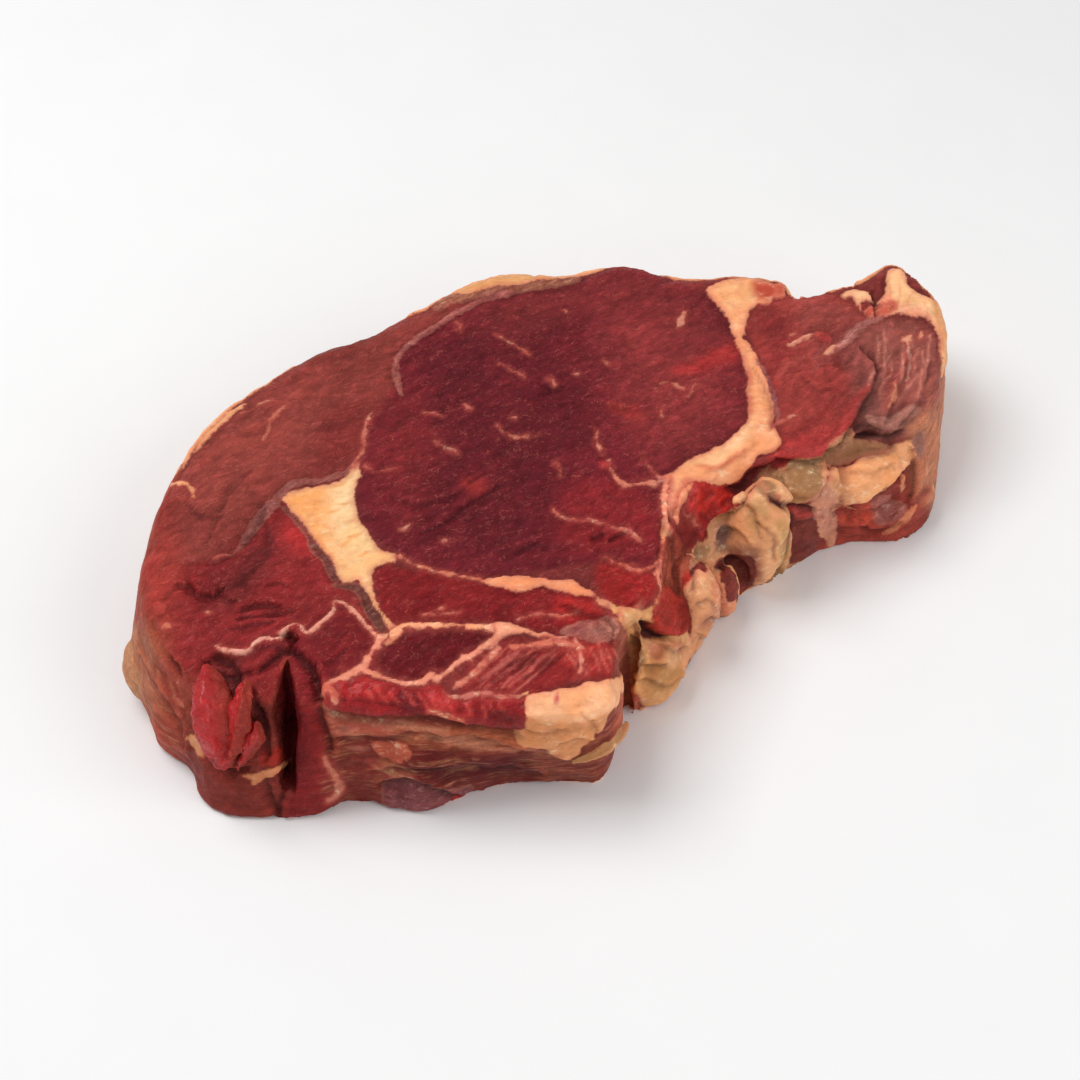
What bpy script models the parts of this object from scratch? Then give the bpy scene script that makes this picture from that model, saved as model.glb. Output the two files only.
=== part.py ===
"""A raw ribeye steak from the blade end, cut 34 mm thick and lying on one of its two cut faces.

One solid: a wall lofted round the steak's outline, with pads of fat and folds of meat grown onto it,
a deep slit between two muscles, and a cut face that follows the muscles underneath it.
Lists hold millimetres, and the mesh is in metres. +Z is up, and +X runs along the steak.
"""

import math

import bmesh
import bpy
import numpy as np
from mathutils import Matrix, Vector

MM = 0.001

# Driving dimensions
THICKNESS = 34.0
BELLY = 1.6  # how far the wall swells at half its height
FOOT_ROUNDING = 2.0
POINTS_PER_SPAN = 5
ROUNDING_STEPS = 5
VOXEL = 1.6
CLAY_SMOOTHING = 3
PRESSED_FLAT = 0.4  # what hangs lower than this lies in the face it rests on
KEPT_TRIANGLES = 0.185  # share of the remeshed surface's triangles that the solid keeps

# The upper edge of the wall: (x, y, flare, shoulder). The wall's foot stands out from the edge by flare,
# and the edge rounds into the cut face over shoulder. The points run counterclockwise.
LEFT_FLANK = [(-87, 1, 0, 4), (-89, -13, 1, 4), (-89, -25, 3, 5), (-86, -36, 3, 7)]
BLADE_CORNER = [(-81, -44, 3, 8), (-75, -50, 5, 9), (-68, -55, 10, 9), (-58, -57, 9, 8)]
RIB_FRONT = [
    (-50, -58, 8, 5),
    (-42, -57, 5, 4),
    (-33, -58, 4, 4),
    (-25, -59, 5, 4),
    (-15, -60, -1, 4),
    (-4, -60, -4, 4),
    (7, -60, -6, 4),
    (14, -57, -4, 3),
]
RIB_CORNER = [(16, -50, -2, 3), (17, -42, 0, 3), (20, -34, 5, 3)]
CHINE_SIDE = [
    (25, -27, 7, 3),
    (28, -17, 11, 4),
    (30, -8, 12, 4),
    (36, 0, 10, 4),
    (45, 8, 9, 4),
    (54, 12, 8, 4),
    (62, 13, 6, 4),
    (68, 17, 5, 5),
]
TAIL_END = [
    (76, 22, 6, 6),
    (86, 26, 7, 6),
    (94, 33, 4, 6),
    (98, 44, 2, 5),
    (99, 54, 1, 4),
    (98, 64, 0, 4),
    (93, 72, 0, 4),
    (87, 77, 0, 3),
]
FAT_CAP_SIDE = [
    (79, 71, 0, 3),
    (70, 67, 0, 3),
    (63, 65, 0, 3),
    (60, 71, 0, 3),
    (48, 72, 0, 4),
    (35, 71, 1, 4),
    (21, 77, 1, 4),
    (6, 73, 1, 4),
    (-7, 74, 1, 4),
    (-19, 69, 1, 4),
    (-31, 60, 1, 4),
    (-43, 52, 1, 4),
    (-56, 45, 1, 4),
    (-66, 37, 1, 4),
    (-74, 28, 1, 4),
    (-80, 16, 1, 4),
]
OUTLINE = LEFT_FLANK + BLADE_CORNER + RIB_FRONT + RIB_CORNER + CHINE_SIDE + TAIL_END + FAT_CAP_SIDE

# Fat and meat that stand out of the wall: (centre), (radii), turn about Z in degrees.
PADS = [
    ((51, 3, 17), (8, 8, 16), 30),  # chine fat, the largest pad
    ((43, -7, 9), (3.5, 4, 9), 30),  # nub beside it
    ((34, -15, 14), (7, 7, 12), 40),  # red meat that hangs over the chine fat
    ((26, -30, 8), (8, 6, 9), 50),  # loose fat by the rib corner
    ((62, 12, 22), (9, 6, 8), 20),  # flap of fat under the cap's edge
    ((78, 18, 20), (11, 6, 8), 30),  # ridge of fat along the tail
    ((88, 22, 7), (9, 6, 7), 35),  # meat below that ridge
    ((-31, -58, 4), (8, 5, 6), 0),  # sinew at the foot of the rib side
    ((-89, -29, 9), (6, 9, 9), 20),  # fat on the left flank
    ((-70, -53, 18), (5, 5, 14), -20),  # tongue of cut muscle
    ((-62, -54, 18), (3.5, 4, 9), 15),  # smaller tongue beside it
]

# Hollows pressed into the wall: (centre), (radii), turn about Z in degrees.
HOLLOWS = [
    ((62, 9, 5), (5, 5, 7), 20),  # under the flap of fat
    ((19, -38, 20), (2.5, 7, 26), -20),  # cleft behind the rib corner
]

# The slit between the two blade muscles, open to the rib side.
SLIT_MOUTH = (-54.5, -70.0)
SLIT_TIP = (-54.0, -42.0)
SLIT_WIDTH_TOP = 11.0
SLIT_WIDTH_FOOT = 4.0
SLIT_FOOT = 3.5  # below this height the two muscles touch

# Swells and dips of the upper cut face: (x, y), (radii), turn in degrees, height.
SWELLS = [
    ((2, 22), (44, 40), 20, 2.2),  # eye of the steak
    ((-15, -38), (22, 9), 10, 1.0),  # rib muscles
    ((64, 42), (13, 20), 0, 1.6),  # cap of the steak
    ((-68, 8), (18, 30), -25, 0.8),  # blade muscle
    ((-78, -54), (24, 18), -30, -4.5),  # blade corner drops away
    ((-92, -8), (12, 30), 0, -3.0),
    ((90, 24), (20, 18), 30, -6.0),  # tail drops towards the chine
    ((90, 70), (10, 8), 0, 1.5),
    ((-63, -12), (12, 5), 45, -1.4),
    ((-40, -30), (4, 12), 35, -1.2),
]


def reset_scene():
    """Removes whatever the scene holds."""
    for obj in list(bpy.data.objects):
        bpy.data.objects.remove(obj)


def closed_curve(points, steps):
    """A smooth closed curve through the points, as an array with steps rows for each span."""
    points = np.array(points, float)
    before, after = np.roll(points, 1, axis=0), np.roll(points, -1, axis=0)
    beyond = np.roll(points, -2, axis=0)
    rows = []
    for share in np.arange(steps) / steps:
        cubic = -before + 3 * points - 3 * after + beyond
        square = 2 * before - 5 * points + 4 * after - beyond
        rows.append(points + 0.5 * share * ((after - before) + share * (square + share * cubic)))
    return np.stack(rows, axis=1).reshape(-1, points.shape[1])


def outward(curve):
    """Unit normals that point out of a counterclockwise plan curve."""
    along = np.roll(curve, -1, axis=0) - np.roll(curve, 1, axis=0)
    normal = np.stack([along[:, 1], -along[:, 0]], axis=1)
    return normal / np.linalg.norm(normal, axis=1)[:, None]


def wall_rings():
    """Rings of points up the wall, from the underside's edge over the shoulder to the cut face."""
    curve = closed_curve(OUTLINE, POINTS_PER_SPAN)
    edge, flare, shoulder = curve[:, :2], curve[:, 2], curve[:, 3]
    normal = outward(edge)
    rings = []

    def add_ring(height, inset):
        share = height / THICKNESS
        stands_out = flare * (1 - share) + BELLY * np.sin(math.pi * share) - inset
        rings.append(np.column_stack([edge + normal * stands_out[:, None], height]))

    quarter = [math.pi / 2 * step / ROUNDING_STEPS for step in range(ROUNDING_STEPS + 1)]
    for angle in quarter:
        height = np.full(len(edge), FOOT_ROUNDING * (1 - math.cos(angle)))
        add_ring(height, FOOT_ROUNDING * (1 - math.sin(angle)))
    for share in (0.25, 0.5, 0.75):
        add_ring(FOOT_ROUNDING + share * (THICKNESS - FOOT_ROUNDING - shoulder), 0 * shoulder)
    for angle in quarter:
        add_ring(THICKNESS - shoulder * (1 - math.sin(angle)), shoulder * (1 - math.cos(angle)))
    return rings


def loft(rings):
    """A closed mesh through the rings, capped at both ends."""
    mesh = bmesh.new()
    layers = [[mesh.verts.new(Vector(point) * MM) for point in ring] for ring in rings]
    count = len(layers[0])
    for lower, upper in zip(layers, layers[1:]):
        for i in range(count):
            j = (i + 1) % count
            mesh.faces.new((lower[i], lower[j], upper[j], upper[i]))
    mesh.faces.new(list(reversed(layers[0])))
    mesh.faces.new(layers[-1])
    return mesh


def add_ellipsoid(mesh, centre, radii, turn):
    """Adds an ellipsoid to the mesh."""
    place = Matrix.Translation(Vector(centre) * MM) @ Matrix.Rotation(math.radians(turn), 4, "Z")
    bmesh.ops.create_uvsphere(
        mesh,
        u_segments=20,
        v_segments=14,
        radius=MM,
        matrix=place @ Matrix.Diagonal((*radii, 1.0)),
    )


def add_slit_wedge(mesh):
    """Adds the slit's wedge to the mesh: wide at its mouth and at the top, closed at its tip."""
    top = THICKNESS + 5
    corners = []
    for height, width in ((SLIT_FOOT, SLIT_WIDTH_FOOT), (top, SLIT_WIDTH_TOP)):
        for side in (-0.5, 0.5):
            corners.append((SLIT_MOUTH[0] + side * width, SLIT_MOUTH[1], height))
        corners.append((*SLIT_TIP, height))
    bmesh.ops.convex_hull(mesh, input=[mesh.verts.new(Vector(corner) * MM) for corner in corners])


def new_object(name, mesh, collection):
    """Puts a bmesh into a named object of the collection."""
    data = bpy.data.meshes.new(name)
    bmesh.ops.recalc_face_normals(mesh, faces=mesh.faces)
    mesh.to_mesh(data)
    mesh.free()
    obj = bpy.data.objects.new(name, data)
    collection.objects.link(obj)
    return obj


def make_cutter(collection):
    """The slit and the hollows, as one object that is cut from the clay."""
    mesh = bmesh.new()
    add_slit_wedge(mesh)
    for hollow in HOLLOWS:
        add_ellipsoid(mesh, *hollow)
    cutter = new_object("slit_and_hollows", mesh, collection)
    cutter.hide_render = True
    cutter.display_type = "WIRE"
    return cutter


def add_remesh(obj):
    """Makes the object one even skin, which joins what overlaps."""
    skin = obj.modifiers.new("skin", "REMESH")
    skin.mode = "VOXEL"
    skin.voxel_size = VOXEL * MM


def applied_mesh(obj):
    """The object's mesh with its modifiers applied, which then leave the object."""
    bpy.context.view_layer.update()
    evaluated = obj.evaluated_get(bpy.context.evaluated_depsgraph_get())
    mesh = bpy.data.meshes.new_from_object(evaluated)
    obj.modifiers.clear()
    obj.data = mesh
    return mesh


def swell_height(x, y):
    """How far the upper cut face stands over the plain thickness, in millimetres."""
    height = np.zeros_like(x)
    for (cx, cy), (rx, ry), turn, rise in SWELLS:
        c, s = math.cos(math.radians(turn)), math.sin(math.radians(turn))
        along = ((x - cx) * c + (y - cy) * s) / rx
        across = ((y - cy) * c - (x - cx) * s) / ry
        height += rise * np.exp(-(along**2 + across**2))
    return height


def shape_cut_faces(mesh):
    """Raises and lowers the upper part of the clay, and presses its underside flat."""
    points = np.empty(len(mesh.vertices) * 3)
    mesh.vertices.foreach_get("co", points)
    points = points.reshape(-1, 3) / MM
    share = np.clip(points[:, 2] / THICKNESS, 0, 1)
    points[:, 2] += swell_height(points[:, 0], points[:, 1]) * share**1.5
    points[points[:, 2] < PRESSED_FLAT, 2] = 0
    mesh.vertices.foreach_set("co", (points * MM).ravel())
    mesh.update()


def meat_material():
    """Moist lean beef."""
    material = bpy.data.materials.new("raw_beef")
    material.use_nodes = True
    shader = material.node_tree.nodes["Principled BSDF"]
    shader.inputs["Base Color"].default_value = (0.20, 0.025, 0.025, 1.0)
    shader.inputs["Roughness"].default_value = 0.45
    shader.inputs["Metallic"].default_value = 0.0
    return material


def make_steak(collection, cutter):
    """The steak's one solid."""
    mesh = loft(wall_rings())
    for pad in PADS:
        add_ellipsoid(mesh, *pad)
    steak = new_object("steak", mesh, collection)
    add_remesh(steak)
    cut = steak.modifiers.new("cut", "BOOLEAN")
    cut.operation = "DIFFERENCE"
    cut.object = cutter
    add_remesh(steak)
    softened = steak.modifiers.new("soften", "SMOOTH")
    softened.iterations = CLAY_SMOOTHING
    shape_cut_faces(applied_mesh(steak))
    lighter = steak.modifiers.new("fewer_faces", "DECIMATE")
    lighter.ratio = KEPT_TRIANGLES
    steak.data.materials.clear()
    steak.data.materials.append(meat_material())
    return steak


def main():
    reset_scene()
    scene = bpy.context.scene.collection
    parts = bpy.data.collections.new("ribeye_steak")
    cutters = bpy.data.collections.new("cutters")
    for collection in (parts, cutters):
        scene.children.link(collection)
    make_steak(parts, make_cutter(cutters))


main()
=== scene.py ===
"""Looks of a raw ribeye steak from the blade end, cut thick and lying on one of its two cut faces.

The steak is one body of clay, grown from its outline, its pads of fat and its folds of meat, and then
worked over: seams sink, fat stands proud, muscles crown, pits and folds are pressed in. Marks of tissue
(fat, silverskin, seams, wet raw meat, dried film) are laid over it and carried as distances in
millimetres to their borders, so that every border is crisp. Small loose pieces lie on the body.
Lists hold millimetres; meshes are in metres. +Z is up, and the steak lies on z = 0.
"""
import logging
import math
from collections.abc import Callable
from dataclasses import dataclass, field
from enum import Enum

import bmesh
import bpy
import numpy as np
from mathutils import Matrix, Vector
from mathutils.bvhtree import BVHTree


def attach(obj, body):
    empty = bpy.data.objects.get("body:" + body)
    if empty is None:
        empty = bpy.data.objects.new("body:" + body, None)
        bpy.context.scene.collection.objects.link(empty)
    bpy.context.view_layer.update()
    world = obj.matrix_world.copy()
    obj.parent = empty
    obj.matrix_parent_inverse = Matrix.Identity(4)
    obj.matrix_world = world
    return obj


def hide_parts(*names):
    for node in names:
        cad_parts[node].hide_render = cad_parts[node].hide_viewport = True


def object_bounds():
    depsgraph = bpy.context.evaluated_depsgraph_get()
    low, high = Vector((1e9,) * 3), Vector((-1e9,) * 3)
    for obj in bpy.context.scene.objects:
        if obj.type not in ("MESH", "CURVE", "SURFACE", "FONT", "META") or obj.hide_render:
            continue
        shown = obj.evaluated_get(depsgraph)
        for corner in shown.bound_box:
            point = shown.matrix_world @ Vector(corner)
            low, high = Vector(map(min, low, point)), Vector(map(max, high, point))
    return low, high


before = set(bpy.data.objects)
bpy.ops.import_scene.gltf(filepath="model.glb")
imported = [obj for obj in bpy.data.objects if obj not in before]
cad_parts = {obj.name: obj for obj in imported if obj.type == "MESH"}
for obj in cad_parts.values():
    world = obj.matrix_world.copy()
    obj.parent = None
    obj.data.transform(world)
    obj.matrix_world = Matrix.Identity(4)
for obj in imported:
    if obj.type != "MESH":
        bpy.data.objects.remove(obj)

CAD_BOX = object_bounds()

MM = 0.001
THICKNESS = 34.0
FAR, TINY = 1e3, 1e-9  # further than any point, and too short to divide by
LOG = logging.getLogger("ribeye")

Array = np.ndarray
Rgb = tuple[float, float, float]


# ------------------------------------------------------------------ numbers and fields


def linear(red: int, green: int, blue: int) -> Rgb:
    """A display colour, 0 to 255 a channel, as the linear colour that shaders take."""
    channels = (red / 255, green / 255, blue / 255)
    return tuple(c / 12.92 if c <= 0.04045 else ((c + 0.055) / 1.055) ** 2.4 for c in channels)


def ramp(value: Array, low: float, high: float) -> Array:
    """Smooth step of value: 0 at low and 1 at high."""
    t = np.clip((value - low) / (high - low), 0.0, 1.0)
    return t * t * (3.0 - 2.0 * t)


class Lattice:
    """Smooth random heights on a cubic lattice, the same on every run."""

    SIDE = 48

    def __init__(self, seed: int) -> None:
        """Draws the lattice's heights.

        Args:
            seed: picks one of many lattices.
        """
        self.heights = np.random.default_rng(seed).uniform(-1.0, 1.0, (self.SIDE,) * 3)

    def at(self, points: Array) -> Array:
        """Heights at points.

        Args:
            points: rows of x, y, z, in cells of the lattice.

        Returns:
            One height from -1 to 1 for each row.
        """
        cell = np.floor(points).astype(int)
        part = points - cell
        part = part * part * (3.0 - 2.0 * part)
        total = np.zeros(len(points))
        for corner in np.ndindex(2, 2, 2):
            weight = np.prod(np.where(corner, part, 1.0 - part), axis=1)
            index = (cell + corner) % self.SIDE
            total += weight * self.heights[index[:, 0], index[:, 1], index[:, 2]]
        return total

    def layered(self, points: Array, octaves: int = 3, gain: float = 0.5) -> Array:
        """Heights with finer and finer detail laid over each other.

        Args:
            points: rows of x, y, z, in cells of the coarsest layer.
            octaves: how many layers.
            gain: each layer's height over the one before.

        Returns:
            One height, within about -1.5 to 1.5, for each row.
        """
        total, height, scale = np.zeros(len(points)), 1.0, 1.0
        for layer in range(octaves):
            total += height * self.at(points * scale + 7.3 * layer)
            height *= gain
            scale *= 2.03
        return total


def smooth_line(points: list[tuple[float, ...]], steps: int, closed: bool) -> Array:
    """A Catmull-Rom line through points of any number of coordinates.

    Args:
        points: the points, in order.
        steps: parts to each span.
        closed: whether the last point joins the first.

    Returns:
        Rows of the line's points; an open line keeps its ends.
    """
    rows = np.array(points, dtype=float)
    count = len(rows)
    spans = count if closed else count - 1
    line = []
    for span in range(spans):
        if closed:
            a, b, c, d = (rows[(span + k) % count] for k in (-1, 0, 1, 2))
        else:
            a, b, c, d = (rows[min(max(span + k, 0), count - 1)] for k in (-1, 0, 1, 2))
        for step in range(steps):
            t = step / steps
            bend, twist = 2 * a - 5 * b + 4 * c - d, 3 * b - a - 3 * c + d
            line.append(0.5 * (2 * b + (c - a) * t + bend * t * t + twist * t**3))
    if not closed:
        line.append(rows[-1])
    return np.array(line)


def beside(points: Array, start: Array, end: Array) -> tuple[Array, Array]:
    """Where points lie beside one straight stretch of a line.

    Args:
        points: rows of two coordinates.
        start: the stretch's first point, whose two first numbers count.
        end: its last point.

    Returns:
        The share of the stretch at which each point is nearest to it, and the way from there to the point.
    """
    along = end[:2] - start[:2]
    share = np.clip(((points - start[:2]) @ along) / max(float(along @ along), TINY), 0.0, 1.0)
    return share, points - start[:2] - share[:, None] * along


def within_line(points: Array, line: Array) -> Array:
    """How far points are inside a line of changing width.

    Args:
        points: rows of two coordinates.
        line: rows of two coordinates and a width.

    Returns:
        Distance inside the line's border, negative outside.
    """
    best = np.full(len(points), -FAR)
    for start, end in zip(line, line[1:]):
        share, off = beside(points, start, end)
        best = np.maximum(best, 0.5 * (start[2] + (end[2] - start[2]) * share) - np.hypot(*off.T))
    return best


def across_line(points: Array, line: Array) -> tuple[Array, Array]:
    """How far points lie from a line of changing width, positive on its left.

    Args:
        points: rows of two coordinates.
        line: rows of two coordinates and a width.

    Returns:
        The signed distance, and the line's width where it is nearest.
    """
    best, width = np.full(len(points), FAR), np.zeros(len(points))
    for start, end in zip(line, line[1:]):
        share, off = beside(points, start, end)
        along, gap = end[:2] - start[:2], np.hypot(*off.T)
        side = np.where(along[0] * off[:, 1] - along[1] * off[:, 0] < 0, -1.0, 1.0)
        nearer = gap < np.abs(best)
        best = np.where(nearer, side * gap, best)
        width = np.where(nearer, start[2] + (end[2] - start[2]) * share, width)
    return best, width


def within_outline(points: Array, outline: Array) -> Array:
    """How far points are inside a closed outline.

    Args:
        points: rows of two coordinates.
        outline: rows of two coordinates, in order round it.

    Returns:
        Distance inside the outline, negative outside.
    """
    gap = np.full(len(points), FAR)
    inside = np.zeros(len(points), dtype=bool)
    for start, end in zip(outline, np.roll(outline, -1, axis=0)):
        gap = np.minimum(gap, np.hypot(*beside(points, start, end)[1].T))
        crosses = (start[1] > points[:, 1]) != (end[1] > points[:, 1])
        rise = end[1] - start[1] if abs(end[1] - start[1]) > TINY else TINY
        inside ^= crosses & (points[:, 0] < start[0] + (points[:, 1] - start[1]) / rise * (end[0] - start[0]))
    return np.where(inside, gap, -gap)


# ------------------------------------------------------------------ the body's clay

# The upper edge of the wall: (x, y, flare, shoulder). Flare is how much further out the wall stands at
# the foot, and shoulder is how far it rounds over into the cut face. Counterclockwise from above.
LEFT_FLANK = [(-87, 1, 0, 4), (-89, -13, 1, 4), (-89, -25, 3, 5), (-86, -36, 3.4, 7)]
BLADE_CORNER = [(-81, -44, 4.8, 8), (-75, -50, 4, 9), (-68, -55, 8.8, 9), (-58, -57, 8.2, 8)]
RIB_FRONT = [
    (-50, -58, 7, 5), (-42, -57, 4, 4), (-33, -58, 3.6, 4), (-25, -59, 4.4, 4),
    (-15, -60, -1.4, 4), (-4, -60, -4, 4), (7, -60, -4.6, 4), (14, -57, -2, 3),
]
RIB_CORNER = [(16, -50, 0.4, 3), (17, -42, 0, 3), (20, -34, 3.6, 3)]
CHINE_SIDE = [
    (25, -27, 5.4, 3), (28, -17, 9, 4), (30, -8, 10.6, 4), (36, 0, 9.6, 4),
    (45, 8, 10, 4), (54, 12, 9.8, 4), (62, 13, 5, 4), (68, 17, 5, 5),
]
TAIL_END = [
    (76, 22, 9.4, 6), (86, 26, 10.8, 6), (93, 33, 4.8, 6), (97, 44, 1, 5),
    (98.4, 54, 0, 4), (98, 64, 0, 4), (93, 72, 0, 4), (87, 77, 0, 3),
]
FAT_CAP_SIDE = [
    (79, 70.2, 0, 3), (70, 67.2, 0, 3), (63, 65, 0, 3), (60, 71, 0, 3), (48, 73, 0, 4), (35, 72.4, 1, 4),
    (21, 77, 1, 4), (6, 73, 1, 4), (-7, 74, 1, 4), (-19, 69, 1, 4), (-31, 60, 1, 4), (-43, 52, 1, 4),
    (-56, 45, 0.6, 4), (-66, 36, 0.8, 4), (-74, 28, 1, 4), (-81, 16.4, 1, 4),
]
STATIONS = LEFT_FLANK + BLADE_CORNER + RIB_FRONT + RIB_CORNER + CHINE_SIDE + TAIL_END + FAT_CAP_SIDE

# Egg-shaped pads grown onto the wall: centre, radii, turn about Z in degrees
PADS = [
    ((51, 3, 17), (8, 8, 16), 30),
    ((43, -7, 9), (3.5, 4, 9), 30),
    ((34, -15, 14), (7, 7, 12), 40),
    ((26, -30, 8), (8, 6, 9), 50),
    ((62, 12, 22), (9, 6, 8), 20),
    ((78, 18, 20), (11, 6, 8), 30),
    ((88, 22, 7), (9, 6, 7), 35),
    ((-31, -58, 4), (8, 5, 6), 0),
    ((-88.2, -30, 9), (6.2, 8.2, 8.5), 20),
    ((-70, -53, 18), (5, 5, 14), -20),
    ((-62, -54, 18), (3.5, 4, 9), 15),
]
HOLLOWS = [((19, -38, 20), (2.1, 6.4, 26), -20)]

# Broad swells of the upper cut face: (x, y), radii, turn, height
SWELLS = [
    ((2, 22), (44, 40), 20, 2.2), ((-15, -38), (22, 9), 10, 1.0), ((64, 42), (13, 20), 0, 1.6),
    ((-68, 8), (18, 30), -25, 0.8), ((-78, -54), (24, 18), -30, -4.5), ((-92, -8), (12, 30), 0, -3.0),
    ((90, 24), (20, 18), 30, -6.0), ((90, 70), (10, 8), 0, 1.5), ((-63, -12), (12, 5), 45, -1.4),
    ((-40, -30), (4, 12), 35, -1.2),
]


@dataclass
class Clay:
    """The body's plain form, before any seam or fold is worked into it."""

    belly: float = 1.6
    foot_rounding: float = 1.2
    points_per_span: int = 6
    rounding_steps: int = 6
    coarse_voxel: float = 0.9
    fine_voxel: float = 0.56
    smoothing: int = 9
    slit_mouth: tuple[float, float] = (-54.5, -70.0)
    slit_tip: tuple[float, float] = (-54.0, -42.0)
    slit_width_top: float = 11.0
    slit_width_foot: float = 1.6
    slit_foot: float = 8.0
    pressed_flat: float = 0.4

    def rings(self) -> list[Array]:
        """Rings of points from the foot's edge up the wall and over its shoulder, in millimetres."""
        line = smooth_line(STATIONS, self.points_per_span, True)
        ahead, behind = np.roll(line[:, :2], -1, axis=0), np.roll(line[:, :2], 1, axis=0)
        along = ahead - behind
        along /= np.linalg.norm(along, axis=1)[:, None]
        out = np.stack((along[:, 1], -along[:, 0]), axis=1)
        flare, shoulder = line[:, 2], line[:, 3]
        rings = []

        def ring(push: Array, height: Array | float) -> None:
            """Adds a ring pushed outwards at a height."""
            level = np.broadcast_to(height, (len(line),))
            rings.append(np.column_stack((line[:, :2] + out * push[:, None], level)))

        for step in range(self.rounding_steps + 1):
            turn = math.pi / 2 * step / self.rounding_steps
            ring(flare - self.foot_rounding * (1 - math.sin(turn)), self.foot_rounding * (1 - math.cos(turn)))
        for share in np.linspace(0.1, 0.9, 9):
            height = self.foot_rounding + share * (THICKNESS - shoulder - self.foot_rounding)
            ring(flare * (1 - share) + self.belly * math.sin(math.pi * share), height)
        for step in range(self.rounding_steps + 1):
            turn = math.pi / 2 * step / self.rounding_steps
            ring(-shoulder * (1 - math.cos(turn)), THICKNESS - shoulder * (1 - math.sin(turn)))
        return rings

    @staticmethod
    def loft(rings: list[Array]) -> bmesh.types.BMesh:
        """A closed skin over rings, capped at both ends."""
        mesh = bmesh.new()
        rows = [[mesh.verts.new(Vector(point) * MM) for point in ring] for ring in rings]
        for low, high in zip(rows, rows[1:]):
            for i in range(len(low)):
                j = (i + 1) % len(low)
                mesh.faces.new((low[i], low[j], high[j], high[i]))
        mesh.faces.new(rows[0][::-1])
        mesh.faces.new(rows[-1])
        return mesh

    @staticmethod
    def add_egg(mesh: bmesh.types.BMesh, centre: tuple, radii: tuple, turn: float) -> None:
        """Adds an egg-shaped pad of three radii to the mesh."""
        place = Matrix.Translation(Vector(centre) * MM) @ Matrix.Rotation(math.radians(turn), 4, "Z")
        scale = Matrix.Diagonal((*(Vector(radii) * MM), 1.0))
        bmesh.ops.create_icosphere(mesh, subdivisions=3, radius=1.0, matrix=place @ scale)

    def add_slit(self, mesh: bmesh.types.BMesh) -> None:
        """Adds the slit's wedge to the mesh: wide at its mouth and its top, closed at its tip."""
        corners = []
        for height, width in ((self.slit_foot, self.slit_width_foot), (THICKNESS + 5, self.slit_width_top)):
            for side in (-0.5, 0.5):
                corners.append((self.slit_mouth[0] + side * width, self.slit_mouth[1], height))
            corners.append((*self.slit_tip, height))
        bmesh.ops.convex_hull(mesh, input=[mesh.verts.new(Vector(corner) * MM) for corner in corners])

    def build(self, name: str) -> bpy.types.Object:
        """The clay as one evenly meshed object.

        Args:
            name: the object's name.

        Returns:
            The object, linked to the scene, with no modifiers left on it.
        """
        mesh = self.loft(self.rings())
        for pad in PADS:
            self.add_egg(mesh, *pad)
        body = new_object(name, mesh)
        mesh = bmesh.new()
        self.add_slit(mesh)
        for hollow in HOLLOWS:
            self.add_egg(mesh, *hollow)
        cutter = new_object("cutter", mesh)
        self.remesh(body, self.coarse_voxel)
        cut = body.modifiers.new("cut", "BOOLEAN")
        cut.operation = "DIFFERENCE"
        cut.object = cutter
        self.remesh(body, self.fine_voxel)
        soften = body.modifiers.new("soften", "SMOOTH")
        soften.iterations = self.smoothing
        apply_modifiers(body)
        bpy.data.objects.remove(cutter)
        return body

    @staticmethod
    def remesh(body: bpy.types.Object, voxel: float) -> None:
        """Makes the object one even skin with faces of a size in millimetres, which joins what overlaps."""
        skin = body.modifiers.new("skin", "REMESH")
        skin.mode = "VOXEL"
        skin.voxel_size = voxel * MM


def new_object(name: str, mesh: bmesh.types.BMesh) -> bpy.types.Object:
    """Puts a bmesh into a new named object of the scene."""
    data = bpy.data.meshes.new(name)
    bmesh.ops.recalc_face_normals(mesh, faces=mesh.faces)
    mesh.to_mesh(data)
    mesh.free()
    piece = bpy.data.objects.new(name, data)
    bpy.context.scene.collection.objects.link(piece)
    return piece


def apply_modifiers(piece: bpy.types.Object) -> None:
    """Makes the object's evaluated mesh its own and takes its modifiers off."""
    bpy.context.view_layer.update()
    shaped = bpy.data.meshes.new_from_object(piece.evaluated_get(bpy.context.evaluated_depsgraph_get()))
    piece.modifiers.clear()
    piece.data = shaped


def read_points(mesh: bpy.types.Mesh) -> Array:
    """The mesh's points, in millimetres."""
    flat = np.empty(len(mesh.vertices) * 3)
    mesh.vertices.foreach_get("co", flat)
    return flat.reshape(-1, 3) / MM


def read_normals(mesh: bpy.types.Mesh) -> Array:
    """The mesh's point normals."""
    flat = np.empty(len(mesh.vertices) * 3)
    mesh.vertices.foreach_get("normal", flat)
    return flat.reshape(-1, 3)


def read_faces(mesh: bpy.types.Mesh) -> Array:
    """The corners of the mesh's faces, all of four corners, as rows of point numbers."""
    flat = np.empty(len(mesh.loops), dtype=np.int32)
    mesh.loops.foreach_get("vertex_index", flat)
    return flat.reshape(-1, 4)


def write_points(mesh: bpy.types.Mesh, points: Array) -> None:
    """Moves the mesh's points, given in millimetres."""
    mesh.vertices.foreach_set("co", (points * MM).ravel())
    mesh.update()


# ------------------------------------------------------------------ marks of tissue


class Tissue(Enum):
    """What the surface is made of. LEAN is what shows where nothing else is laid."""

    LEAN = "lean"
    FAT = "fat"
    SKIN = "skin"
    SEAM = "seam"
    RAW = "raw"
    FILM = "film"


class Side(Enum):
    """Which surface a mark lies on, and the two axes that its points are read along."""

    CUT = "cut"
    SLOPE = "slope"
    BACK = "back"


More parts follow.
